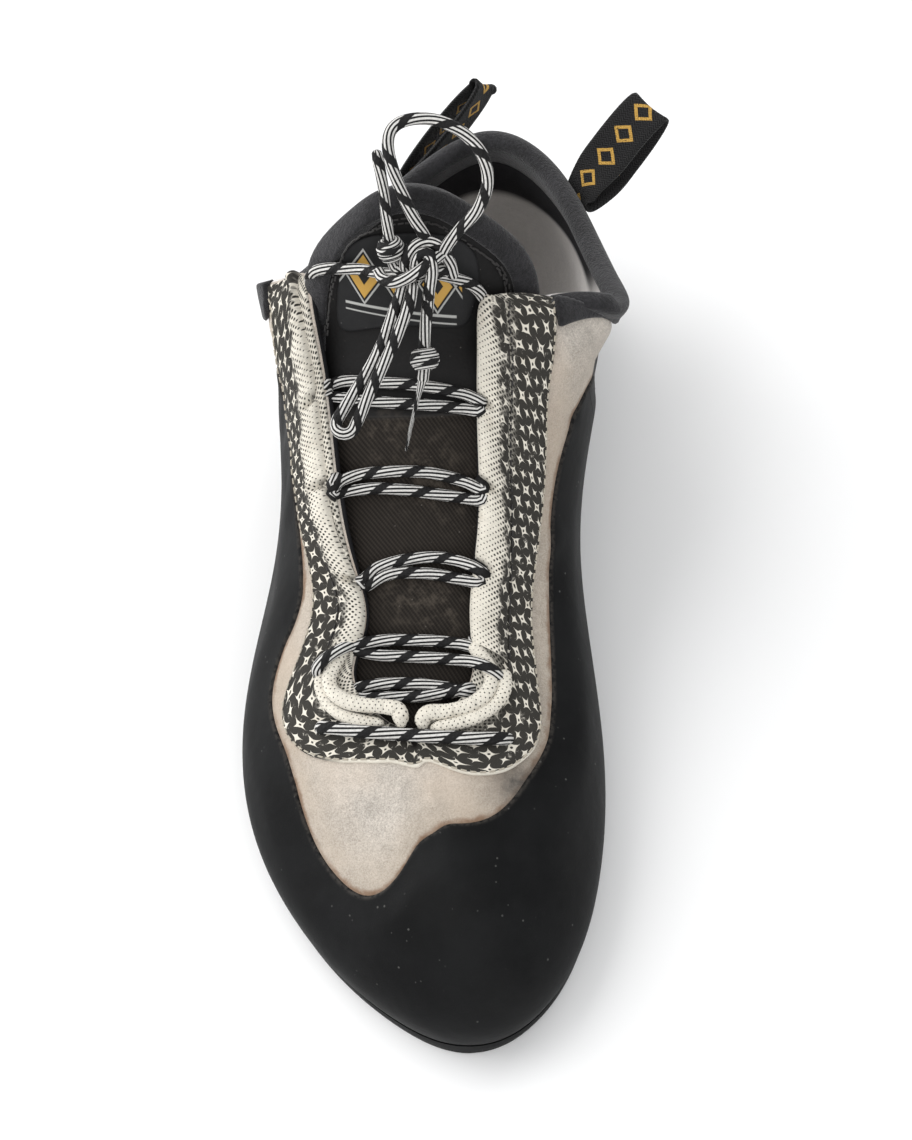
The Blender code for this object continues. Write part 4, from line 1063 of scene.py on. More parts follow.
def webbing_finish(colours):
    """Woven tape with gold lozenges along its middle."""
    work = Finish("webbing_weave")
    where = work.object_mm()
    u, v = work.uv_mm()
    chevron = work.plus(v, work.size(work.minus(work.math("PINGPONG", u, 1.6), 0.8)))
    rib = work.scaled(work.sine(work.times(chevron, 2 * math.pi / 0.8)), 0.5, 0.5)
    cell = work.minus(work.part(work.over(v, 7.6)), 0.5)
    along = work.size(work.times(cell, 7.6))
    lozenge = work.plus(work.over(along, 2.9), work.over(work.size(u), 3.4))
    ring = work.step(work.size(work.minus(lozenge, 0.82)), 0.22, 0.16)
    fray = work.step(work.noise(where, 2.0, 2, 0.6), 0.25, 0.45)
    tone = work.mix(rib, *shades(colours.webbing, 0.6, 2.0))
    tone = work.mix(work.times(ring, fray), tone, colours.gold)
    return work.done(tone, 0.78, work.bump(rib, 0.22), Specular_IOR_Level=0.18, Sheen_Weight=0.03)


# Pale lines round the lace, and millimetres from one dark band to the next
LACE_LINES = 9.0
LACE_BAND_PITCH = 10.6


def lace_finish(colours):
    """Dark braid with fine pale lines along it, broken by dark bands that run aslant."""
    work = Finish("lace_braid")
    u, v = work.uv_mm()
    twist = work.scaled(v, 0.012, u)
    line = work.size(work.minus(work.part(work.times(twist, LACE_LINES)), 0.5))
    pale = work.step(line, 0.30, 0.22)
    slant = work.part(work.plus(work.over(v, LACE_BAND_PITCH), u))
    band = work.size(work.minus(slant, 0.5))
    broken = work.step(band, 0.155, 0.13)
    pale = work.times(pale, work.minus(1.0, broken))
    ways = []
    for sign in (1.0, -1.0):
        turn = work.scaled(work.times(v, sign), 2 * math.pi / 1.7, work.times(u, 2 * math.pi * 6))
        ways.append(work.sine(turn))
    braid = work.scaled(work.most(*ways), 0.5, 0.5)
    fibre = work.noise(work.join(work.times(u, 30.0), v), 1.2, 3, 0.6)
    light = work.mix(fibre, *shades(colours.lace_light, 0.72, 1.3))
    dark = work.mix(fibre, *shades(colours.lace_dark, 0.6, 1.7))
    tone = work.mix(pale, dark, light)
    normal = work.bump(braid, 0.16)
    normal = work.bump(fibre, 0.08, normal)
    return work.done(tone, work.between(pale, 0.66, 0.74), normal, Specular_IOR_Level=0.18)


def thread_finish(name, tone):
    work = Finish(name)
    where = work.object_mm()
    twist = work.noise(where, 3.0, 2, 0.5)
    return work.done(work.mix(twist, *shades(tone, 0.6, 1.3)), 0.75, work.bump(twist, 0.06))


def finish(name):
    """A material made by the finishes operator."""
    return bpy.data.materials[name]


def seat_height(places, outward):
    """Height on the form where a skin this far out stands on the sole."""
    floor = foot_at(places)[..., 2]
    heights = np.zeros(len(places))
    for _ in range(5):
        here = form_at(places, heights)[..., 2] + normal_at(places, heights)[..., 2] * outward
        above = heights + 0.01
        climb = form_at(places, above)[..., 2] + normal_at(places, above)[..., 2] * outward - here
        heights = heights + np.clip(0.01 * (floor - here) / climb, -0.02, 0.02)
        heights = np.clip(heights, 0, 0.1)
    return heights


def outline_sides(inset, count):
    """Left and right points of the foot line at stations along the shoe, moved in by an inset."""
    dense = np.linspace(0, RING, 2720, endpoint=False)
    line = foot_at(dense) - outward_at(dense) * inset
    tip, heel = line[:, 1].argmin(), line[:, 1].argmax()
    start, end = line[tip, 1] + 0.05, line[heel, 1] - 0.05
    turn = np.linspace(0, math.pi, count)
    stations = start + (end - start) * (1 - np.cos(turn)) / 2

    def branch(side):
        order = side[np.argsort(side[:, 1])]
        return np.stack([np.interp(stations, order[:, 1], order[:, axis]) for axis in (0, 1, 2)], -1)

    after_tip = np.roll(line, -tip, 0)
    split = (heel - tip) % len(dense)
    return branch(after_tip[: split + 1]), branch(after_tip[split:])


def slab(lateral, medial, over_top, thickness, edge_out):
    """Sections across the shoe between two side lines, with this edge: (in, down) in millimetres."""
    across = medial - lateral
    width = np.linalg.norm(across, axis=-1, keepdims=True)
    inward = across / width
    shares = np.linspace(0, 1, 15)
    up = np.array([0, 0, 1.0])
    rows = [lateral + across * share + up * over_top for share in shares]
    fall = [(np.minimum(into, width / 3), down) for into, down in edge_out]
    rows += [medial - inward * into + up * (over_top - down) for into, down in fall]
    bottom = np.minimum(edge_out[-1][0], width / 3)
    low_left, low_right = lateral + inward * bottom, medial - inward * bottom
    low = up * (over_top - thickness)
    rows += [low_right + (low_left - low_right) * share + low for share in shares]
    rows += [lateral + inward * into + up * (over_top - down) for into, down in reversed(fall)]
    return np.stack(rows, 1)


def build_outsole():
    lateral, medial = outline_sides(-(GAP + RAND + SOLE_LEDGE), 170)
    edge = ((0.0, 0.5), (-0.12, 1.4), (0.0, 2.4), (0.25, 3.2), (0.8, 3.85))
    sections = slab(lateral, medial, -GAP * 0.2, SOLE + GAP * 0.8, edge)
    sections[..., 2] = np.maximum(sections[..., 2], 0)
    piece = Piece().grid(sections, around=True, caps=True, to_edge=12)
    dress(piece.object("outsole_rubber", finish("rubber_matt"), crisp=60), "rubber", "outsole")


def build_insole():
    sides = outline_sides(INSOLE_INSET, 80)
    outer, inner = outline_sides(-(GAP + RAND + SOLE_LEDGE), 240)
    for side in sides:
        ends = [
            [np.interp(side[:, 1], line[:, 1], line[:, axis]) for axis in (0, 2)]
            for line in (outer, inner)
        ]
        share = (side[:, 0] - ends[0][0]) / (ends[1][0] - ends[0][0])
        side[:, 2] = ends[0][1] + (ends[1][1] - ends[0][1]) * share
    edge = ((0.0, 0.3), (0.0, 1.2), (0.2, 2.1))
    piece = Piece().grid(slab(*sides, INSOLE, INSOLE, edge), around=True, caps=True)
    dress(piece.object("insole_felt", finish("insole_felt")), "insole", "insole")


# Dirty marks as place, height and reach, and sewn seams as places and heights
SMUDGES = ((30.2, 0.63, 6.5), (29.8, 0.575, 5.0))
PANEL_SEAM = ((22.3, 0.640), (22.9, 0.632), (23.5, 0.642), (24.2, 0.668))


def build_upper():
    """The leather upper: one wall all round, napped outside and lined inside, with its creases."""
    places = np.arange(0, RING, 1 / LOFT_ROWS)
    zero = 0 * places
    rows, hidden = 62, 34
    heights, outward = skin_loop(places, zero, zero + 1, -WALL, 0.0, rows, 1.0, hidden)
    wide = np.repeat(places[:, None], heights.shape[1], 1)
    base = form_at(wide, heights)
    points = shell_at(wide, heights, outward)
    length = section_length(places)[:, None]
    to_rubber = (heights - RUBBER_LINE(places)[:, None]) * length
    smudge = np.zeros(heights.shape)
    for place, height, reach in SMUDGES:
        gap = np.linalg.norm(base - form_at(place, height), axis=-1)
        smudge = np.maximum(smudge, np.exp(-((gap / reach) ** 2)))
    hem = to_line(base, form_at(*np.transpose(PANEL_SEAM)))[0]
    outside = heights.shape[1] - hidden
    slot = np.where(np.arange(heights.shape[1]) < outside - 3, 0, 1)[None]
    # The heel pad is dark cloth. Near the throat's edge the lining is also painted near black: painted shade
    # under the sleeves and the band.
    round_heel = blend(12.6, 13.4, wide) * blend(20.4, 19.4, wide) * blend(30.0, 24.0, (1 - heights) * length)
    throat_shade = 1 - blend(11.4, 12.2, wide) * blend(23.6, 22.8, wide)
    dark = np.maximum(round_heel, throat_shade * blend(12.0, 9.0, (1 - heights) * length))
    piece = Piece().grid(
        points, ring=True, around=True, slot=slot, to_rubber=to_rubber, smudge=smudge, hem=hem, heel_pad=dark
    )
    dress(piece.object("upper_leather", finish("suede_nap"), finish("lining_cloth")), "suede", "upper")


# Half the gap between the rands, in steps of the ring
RAND_JOINT = 0.015


def rand_thickness(from_top):
    """Thin at the rubber's top line, full from 13 mm below it."""
    return 0.75 + (GAP + RAND - 0.75) * blend(0.0, 13.0, from_top)


def build_rands():
    """The rubber of toe and heel, from the sole up to its own line."""
    start, end = RUBBER_JOINS
    for name, places in (
        ("toe_rand", ring_places(end - RING, start, 1 / LOFT_ROWS)),
        ("heel_rand", ring_places(start + RAND_JOINT, end - RAND_JOINT, 1 / LOFT_ROWS)),
    ):
        low = np.maximum(seat_height(places, GAP + RAND) - 0.004, 0)
        high = RUBBER_LINE(places)

        heights, outward = skin_loop(places, low, high, -0.1, rand_thickness, 42, 0.9, 4)
        wide = np.repeat(places[:, None], heights.shape[1], 1)
        to_edge = (high[:, None] - heights) * section_length(places)[:, None]
        piece = Piece().grid(shell_at(wide, heights, outward), around=True, caps=True, to_edge=to_edge)
        dress(piece.object(name + "_rubber", finish("rubber_matt"), crisp=70), "rubber", name)


def build_star_band():
    """The printed cloth sewn round the throat, one sheet with a turned edge."""
    places = ring_places(*PRINT_ENDS, 1 / 14)
    low, high = PRINT_LINE(places), 0 * places + 0.99
    low = low + 0.0011 * np.sin(around_ring(places, 0.8) * 2 * math.pi / 8.5)
    heights, outward = skin_loop(places, low, high, -0.05, PRINT_LIFT, 34, 0.7, 4)
    wide = np.repeat(places[:, None], heights.shape[1], 1)
    uv = loft_uv(places, heights)
    # A slit at the top of the toe end is painted dark: painted shade of its opening.
    slit = np.exp(-((wide + 0.25) ** 2) / 0.5) * blend(0.915, 0.945, heights)
    rim = blend(4.4, 3.6, wide) * blend(-5.2, -4.4, wide)
    piece = Piece().grid(
        shell_at(wide, heights, outward), uv, around=True, caps=True, hole=np.minimum(slit * 1.6, 1), rim=rim
    )
    made = piece.object("star_band", finish("star_print"))
    dress(made, "print", "eyestay_overlay")


SLEEVE_SECTION = (
    # share from seam to throat edge, rise as a share of the sleeve's thickness
    (0.0, 0.1), (0.03, 0.46), (0.16, 0.84), (0.42, 1.0), (0.7, 0.98), (0.92, 0.74), (1.0, 0.34),
    (0.985, 0.02), (0.6, 0.03), (0.2, 0.03),
)


def ring_step(place):
    """Length along the edge for one step in the ring."""
    ends = edge_at(np.array([place - 0.05, place + 0.05]))
    return np.linalg.norm(ends[1] - ends[0]) / 0.1


def sleeve_places(start, end, slits):
    """Places along a sleeve, closer together at its slits."""
    stops = [start]
    while stops[-1] < end:
        here = stops[-1]
        near = min(abs(here - slit) * ring_step(slit) for slit in slits)
        stops.append(here + (0.38 if near < 4.0 else 0.9) / ring_step(here))
    stops[-1] = end
    return np.array(stops)


def build_sleeves():
    """Rolled cloth tunnels along the throat, slit where the lace dives in."""
    profile = smooth_route([(*stop, 0.0) for stop in SLEEVE_SECTION], 0.055, ring=True)[:, :2]
    for side, ends in SLEEVE_ENDS.items():
        slits = SLITS[side]
        places = sleeve_places(*ends, slits)
        low = SEAM_LINE(places)
        bulge = 0.034 * blend(7.3, 8.2, places) * blend(11.3, 10.5, places) if side == "lateral" else 0
        width = (0.995 - bulge - low)[:, None]
        share = np.repeat(profile[None, :, 0], len(places), 0)
        rise = np.repeat(profile[None, :, 1], len(places), 0)
        edge = blend(0.30, 0.85, share)
        hole = np.zeros_like(share)
        along = around_ring(places, 0.95)[:, None]
        for slit in slits:
            off = ((places - slit) * ring_step(slit))[:, None]
            slot = np.exp(-((off / 0.95) ** 2))
            dip = np.exp(-((off / 4.2) ** 2))
            lip = np.exp(-(((np.abs(off) - 2.5) / 1.1) ** 2))
            rise = rise * (1 - 0.62 * slot * edge - 0.10 * dip * edge) + 0.07 * lip * edge * rise
            share = share * (1 - 0.13 * slot * edge)
            # Each slit's opening is painted dark: painted shade of the tunnel's inside.
            hole = np.maximum(hole, np.exp(-((off / 1.15) ** 2)) * blend(0.68, 0.84, share))
        folds = 0.055 * np.sin(along / 3.1 + 2.0 * share)
        folds = folds + 0.045 * np.sin(along / 1.7 - 3.0 * share + 1.0)
        folds = folds + 0.03 * np.sin(along / 0.9 + 4.0 * share)
        rise = rise * (1 + folds * blend(0.1, 0.5, rise))
        heights = low[:, None] + width * share
        wide = np.repeat(places[:, None], heights.shape[1], 1)
        points = shell_at(wide, heights, GAP * 0.4 + TUBE * rise)
        around = np.append(profile[:, 0], profile[0, 0])[None]
        v = around * width * section_length(places)[:, None]
        uv = np.stack([np.repeat(along, v.shape[1], 1), v], -1)
        # Each open end is closed a little way in by a sheet painted dark: painted shade of the tunnel's
        # inside.
        inner = []
        for row, way in ((0, 1), (-1, -1)):
            middle = points[row].mean(0)
            ahead = unit(points[row + 6 * way].mean(0) - middle)
            lip = middle + (points[row] - middle) * 0.80
            inner.append((lip, lip + ahead * 2.8))
        piece = Piece().grid(points, uv, around=True, hole=hole)
        for row, (lip, deep) in zip((0, -1), inner):
            order = slice(None, None, -1 if row else 1)
            throat = np.stack([points[row], lip, deep])[order]
            flat = np.zeros((3, len(profile) + 1, 2))
            piece.grid(throat, flat, around=True, hole=np.array([0.0, 0.75, 1.0])[order, None])
            end = piece.count - 3 * len(profile) + (2 * len(profile) if row == 0 else 0)
            piece.faces.append(list(range(end, end + len(profile))))
            piece.uvs.append(np.zeros((len(profile), 2)))
            piece.slots.append(0)
        made = piece.object(f"lace_sleeve_{side}", finish("sleeve_print"))
        weld(made)
        nodes = [f"lace_tube_{side}_{index + 1}" for index in range(4)]
        dress(made, "tube", *nodes)


def weld(made):
    """Joins points that lie on each other, then turns the faces outward."""
    work = bmesh.new()
    work.from_mesh(made.data)
    bmesh.ops.remove_doubles(work, verts=work.verts, dist=2e-6)
    bmesh.ops.recalc_face_normals(work, faces=work.faces)
    work.to_mesh(made.data)
    work.free()


# Middle lines of the rolls at the throat's toe end, as x, back from the toe and z, with the roll's radius
THROAT_ROLLS = {
    "lateral": (
        (
            2.0,
            (
                (-19.8, 88.6, 50.6), (-22.0, 84.3, 49.3), (-22.5, 81.0, 48.7), (-21.3, 78.1, 48.4),
                (-18.2, 75.8, 48.4), (-14.2, 74.6, 48.5), (-9.4, 74.2, 48.6), (-5.2, 73.6, 48.5),
                (-4.1, 71.8, 48.2), (-3.9, 69.9, 47.4),
            ),
        ),
        (
            1.75,
            (
                (-24.6, 83.8, 47.6), (-24.6, 80.4, 46.8), (-22.9, 76.4, 46.3), (-20.0, 73.4, 46.4),
                (-16.4, 71.6, 46.7), (-12.2, 70.7, 46.7), (-9.0, 70.5, 46.6),
            ),
        ),
    ),
    "medial": (
        (
            2.0,
            (
                (14.0, 89.4, 52.2), (16.5, 85.9, 51.2), (18.0, 83.0, 50.6), (18.0, 80.0, 49.9),
                (16.2, 76.9, 49.5), (12.6, 74.3, 49.2), (7.3, 73.0, 48.9), (2.9, 72.6, 48.6),
                (1.6, 71.2, 48.2), (1.5, 69.4, 47.4),
            ),
        ),
        (
            1.85,
            (
                (21.3, 83.0, 49.8), (21.2, 79.0, 48.9), (19.3, 75.4, 48.5), (15.6, 72.4, 48.3),
                (10.8, 70.4, 48.0), (6.2, 69.4, 47.5), (4.2, 69.2, 47.0),
            ),
        ),
    ),
}


def build_bindings():
    """Two rolled bindings on each side of the throat's toe end, with the slit between them."""
    for side, rolls in THROAT_ROLLS.items():
        piece = Piece()
        for reach, route in rolls:
            line = smooth_route(from_toe(route), 0.6)
            radius = reach * (1 + 0.06 * np.sin(walked(line) / 2.1))
            radius[-3:] *= (0.96, 0.86, 0.66)
            sweep(piece, line, radius, flat=0.72, hole=0)
        for index, uvs in enumerate(piece.uvs):
            piece.uvs[index] = np.stack([uvs[:, 1], uvs[:, 0] * 9 + 0.8], -1)
        dress(piece.object(f"throat_roll_{side}", finish("sleeve_print")), "tube", f"throat_binding_{side}")


COLLAR_WIDTH = 9.0


def build_collar():
    """The padded fleece roll over the collar's edge."""
    places = ring_places(*COLLAR_ENDS, 1 / LOFT_ROWS)
    ends = blend(13.8, 12.6, places), blend(21.0, 22.5, places)
    end = np.maximum(*ends)
    slant = 7.0 * ends[1] - 5.0 * ends[0]
    deep = blend(20.2, 21.7, places)
    low = 1 - (COLLAR_WIDTH + 4.0 * ends[0] + 7.0 * deep) / section_length(places)
    one = 0 * places + 1
    thick = 1 - 0.35 * end
    edge = form_at(places, one)
    climb = unit(edge - form_at(places, one * 0.96))
    across = normal_at(places, one * 0.99)

    def on(height, outward):
        return shell_at(places + slant * (1 - height), height, outward)

    def above(rise, outward):
        return edge + across * (outward * thick)[:, None] + climb * (rise * (1 - 0.8 * end))[:, None]

    control = np.stack(
        [
            on(low, 0.3),
            on(low, COLLAR * 0.8 * thick),
            on(0.65 * low + 0.35, (COLLAR + GAP) * thick),
            on(0.3 * low + 0.7, (COLLAR + 1.6 * GAP) * thick),
            above(0.9, COLLAR + GAP),
            above(2.6, COLLAR * 0.7),
            above(3.2, 0.0),
            above(2.4, -WALL),
            above(0.6, -WALL - 0.9),
            on(0.4 * low + 0.6, -WALL - 0.6),
            on(0.8 * low + 0.2, -WALL - 0.1),
            on(0.5 + low / 2, -0.4),
        ],
        1,
    )
    share = np.linspace(0, 1, len(places))
    taper = np.minimum(blend(0, 0.008, share), blend(1, 0.992, share))[:, None, None]
    middle = control.mean(1, keepdims=True)
    control = middle + (control - middle) * (0.9 + 0.1 * taper)
    sections = resample(control)
    piece = Piece().grid(sections, around=True, caps=True)
    made = dress(piece.object("collar_roll", finish("fleece_nap")), "fleece", "collar_binding")


def resample(loops, count=44):
    """Each closed loop as a smooth curve through its points, with the same count of even steps."""
    out = []
    for loop in loops:
        dense = smooth_route(loop, 0.25, ring=True)
        closed = np.concatenate([dense, dense[:1]])
        length = walked(closed)
        stops = np.linspace(0, length[-1], count, endpoint=False)
        out.append(np.stack([np.interp(stops, length, closed[:, axis]) for axis in range(3)], -1))
    return np.array(out)


def tongue_rows():
    """Left, middle and right points of each row of the tongue's outer face."""
    rows = []
    for left, left_height, right, right_height, rise in TONGUE_UNDER:
        places = np.array([left, right])
        heights = np.array([left_height, right_height]) / 100
        sides = form_at(places, heights) - normal_at(places, heights) * (WALL + 3 * GAP)
        middle = sides.mean(0) + np.array([0, 0, rise])
        rows.append(np.stack([sides[0], middle, sides[1]]))
    for row in TONGUE_TOP:
        rows.append(sized(np.array(row).reshape(3, 3)))
    return np.array(rows)


def tongue_at(along, across):
    """A point of the tongue's outer face, 0 to 1 from its toe end to its top and from left to right."""
    rows = tongue_rows()
    knots = walked(rows[:, 1])
    knots = knots / knots[-1]
    slope = np.diff(rows, axis=0) / np.diff(knots)[:, None, None]
    width = np.diff(knots)
    inner = width[1:, None, None] * slope[:-1] + width[:-1, None, None] * slope[1:]
    inner = inner / (width[1:] + width[:-1])[:, None, None]
    tangent = np.concatenate([slope[:1], inner, slope[-1:]])
    along, across = np.broadcast_arrays(np.asarray(along, float), np.asarray(across, float))
    span = np.clip(np.searchsorted(knots, along, side="right") - 1, 0, len(knots) - 2)
    t = ((along - knots[span]) / width[span])[..., None, None]
    reach = width[span][..., None, None]
    line = hermite(t, rows[span], rows[span + 1], tangent[span] * reach, tangent[span + 1] * reach)
    a = across[..., None]
    left, middle, right = line[..., 0, :], line[..., 1, :], line[..., 2, :]
    return left * (1 - a) * (1 - 2 * a) + middle * 4 * a * (1 - a) + right * a * (2 * a - 1)


def tongue_normal(along, across):
    before, after = np.clip(along - 0.01, 0, 1), np.clip(along + 0.01, 0, 1)
    forward = tongue_at(after, across) - tongue_at(before, across)
    side = tongue_at(along, across + 0.01) - tongue_at(along, across - 0.01)
    return unit(np.cross(side, forward))


def tongue_patch(points, across):
    """Millimetres inside the smooth patch that covers the tongue's top half."""
    back = points[..., 1] + LENGTH / 2
    return back - 141.7 - 4.5 * (2 * across - 1) ** 2


def build_tongue():
    """The tongue's body: twill below and a smooth patch above, in one bent sheet."""
    along = np.linspace(0, 0.985, 128)
    across = np.linspace(0, 1, 50)
    section = np.concatenate([across, across[::-1][1:-1]])
    wide, narrow = np.meshgrid(along, section, indexing="ij")
    under = np.concatenate([np.zeros(50), np.ones(48)])[None]
    top = tongue_at(wide, narrow)
    normal = tongue_normal(wide, narrow)
    sunk = TONGUE * under * (1 - (2 * narrow - 1) ** 8 * 0.6)
    roll = 0.5 * np.sin(walked(tongue_at(along, 0.5 + 0 * along))[:, None] / 8.5) * blend(0.3, 0.0, wide)
    points = top + normal * (roll - sunk)[..., None]
    long = walked(tongue_at(along, 0.5 + 0 * along))
    width = np.linalg.norm(tongue_at(wide, 1 + 0 * wide) - tongue_at(wide, 0 * wide), axis=-1)
    u = (narrow - 0.5) * width
    uv = np.stack([u, np.repeat(long[:, None], u.shape[1], 1)], -1)
    uv = np.concatenate([uv, uv[:, :1]], 1)
    back = points[..., 1] + LENGTH / 2
    spots = np.zeros_like(back)
    for x, y, reach in ((-2, 132, 9), (4, 100, 8), (-6, 104, 6), (8, 125, 6), (-12, 139, 5)):
        spots += np.exp(-((points[..., 0] - x) ** 2 + (back - y) ** 2) / reach**2)
    piece = Piece().grid(
        points, uv, around=True, caps=True, patch=tongue_patch(points, narrow), dusty=np.minimum(spots, 1)
    )
    dress(piece.object("tongue_cloth", finish("tongue_cloth"), crisp=75), "tongue", "tongue")


def tongue_rim():
    """Points round the tongue's free outline, the surface normal there, and the way in."""
    up = np.linspace(0.70, 1, 30)
    side = np.linspace(0, 1, 22)[1:-1]
    along = np.concatenate([up, 0 * side + 1, up[::-1]])
    across = np.concatenate([0 * up, side, 0 * up + 1])
    line = tongue_at(along, across)
    line = np.concatenate([line[:1], (line[:-2] + 2 * line[1:-1] + line[2:]) / 4, line[-1:]])
    for _ in range(6):
        line[1:-1] = (line[:-2] + 2 * line[1:-1] + line[2:]) / 4
    normal = tongue_normal(along, across)
    for _ in range(6):
        normal[1:-1] = unit(normal[:-2] + normal[1:-1] + normal[2:])
    tangent = unit(np.gradient(line, axis=0))
    inward = unit(np.cross(tangent, normal))
    middle = tongue_at(0.85, 0.5)
    if ((middle - line) * inward).sum(-1).mean() < 0:
        inward = -inward
    return line, normal, inward


def build_tongue_rim():
    """The fleece turned over the tongue's free edge."""
    line, normal, inward = tongue_rim()
    control = np.array(
        [(-0.9, -0.6), (-0.3, 1.0), (1.6, 1.45), (3.9, 1.25),
         (5.6, 0.7), (6.2, 0.0), (5.4, -3.3), (3.0, -3.9), (0.2, -3.6), (-0.8, -2.4)]
    )
    loops = line[:, None] + inward[:, None] * control[None, :, :1] + normal[:, None] * control[None, :, 1:]
    sections = resample(loops, 40)
    piece = Piece().grid(sections, around=True, caps=True)
    made = dress(piece.object("tongue_rim", finish("fleece_nap")), "fleece", "tongue_edge")


def build_badge():
    """A thin patch with rounded corners on the tongue, with a plain ornament printed on it."""
    turns = np.linspace(0, 2 * math.pi, 112, endpoint=False)
    square = (np.abs(np.cos(turns)) ** 5 + np.abs(np.sin(turns)) ** 5) ** -0.2
    middle = sum(BADGE_ALONG) / 2
    half_along = (BADGE_ALONG[1] - BADGE_ALONG[0]) / 2
    radii = np.concatenate([[0.004], np.linspace(0.1, 0.94, 14), [0.97, 0.99, 1.0, 0.99, 0.6, 0.004]])
    lifts = np.concatenate([np.full(15, BADGE), [BADGE * 0.93, BADGE * 0.7, BADGE * 0.3, 0, 0, 0]])
    r = radii[:, None] * square
    across = 0.5 + (BADGE_ACROSS[1] - BADGE_ACROSS[0]) / 2 * r * np.cos(turns)
    along = middle + half_along * r * np.sin(turns)
    points = tongue_at(along, across) + tongue_normal(along, across) * (0.1 + lifts)[:, None, None]
    centre = tongue_at(middle, 0.5)
    wide = unit(tongue_at(middle, 0.6) - tongue_at(middle, 0.4))
    tall = unit(tongue_at(middle + 0.02, 0.5) - tongue_at(middle - 0.02, 0.5))
    uv = np.stack([(points - centre) @ wide, (points - centre) @ tall], -1)
    uv = np.concatenate([uv, uv[:, :1]], 1)
    piece = Piece().grid(points, uv, around=True, caps=True)
    dress(piece.object("badge_patch", finish("badge_print"), crisp=60), "badge", "tongue_badge")


def build_pull_loops():
    """Each loop is a woven strip bent to a teardrop and sewn flat outside the collar."""
    width = bpy.context.scene.shoe_sizes.webbing / MM
    turns = np.linspace(0, 2 * math.pi, 110, endpoint=False)
    half = width / 2
    front = [(-half, 0), (-half + 0.5, 0.62), (-half / 2, 0.7), (half / 2, 0.7), (half - 0.5, 0.62), (half, 0)]
    back = [(across, -thick) for across, thick in front[-2:0:-1]]
    profile = smooth_route([(*stop, 0) for stop in front + back], 0.9, ring=True)[:, :2]
    profile = profile * np.array([1.0, WEBBING / 1.4])
    for side, (place, height, stand_off, way) in PULL_LOOPS.items():
        outward = normal_at(place, height)
        root = form_at(place, height) + outward * (COLLAR + stand_off + (PULL_LOOP_ROOT + WEBBING) / 2)
        reach = np.linalg.norm(way)
        rise = unit(np.array(way))
        flat = unit(outward - rise * (outward @ rise))
        wide = np.cross(flat, rise)
        along = reach * (1 - np.cos(turns)) / 2
        belly = PULL_LOOP_ROOT + (PULL_LOOP_BELLY[side] - PULL_LOOP_ROOT) * np.sin(turns / 2)
        bulge = belly / 2 * np.sin(turns)
        skew = 0.9 * np.sin(turns + 0.6)
        twist = (PULL_LOOP_TWIST[side] * (0.35 + 0.65 * blend(0.0, 0.5, along / reach)))[:, None]
        flat = flat * np.cos(twist) + wide * np.sin(twist)
        wide = np.cross(flat, rise)
        line = root + flat * bulge[:, None] + rise * along[:, None] + wide * skew[:, None]
        tangent = unit(np.roll(line, -1, 0) - np.roll(line, 1, 0))
        face = unit(np.cross(tangent, wide))
        edge = np.cross(face, tangent)
        cup = 0.35 * (profile[:, 0] / half) ** 2
        points = line[:, None] + edge[:, None] * profile[None, :, :1]
        points = points + face[:, None] * (profile[:, 1] + cup)[None, :, None]
        length = walked(np.concatenate([line, line[:1]]))
        spread = np.append(profile[:, 0], profile[0, 0])
        uv = np.stack(np.meshgrid(spread, length), -1)
        piece = Piece().grid(points, uv, ring=True, around=True)
        made = piece.object(f"loop_webbing_{side}", finish("webbing_weave"), crisp=70)
        dress(made, "webbing", f"pull_loop_{side}")


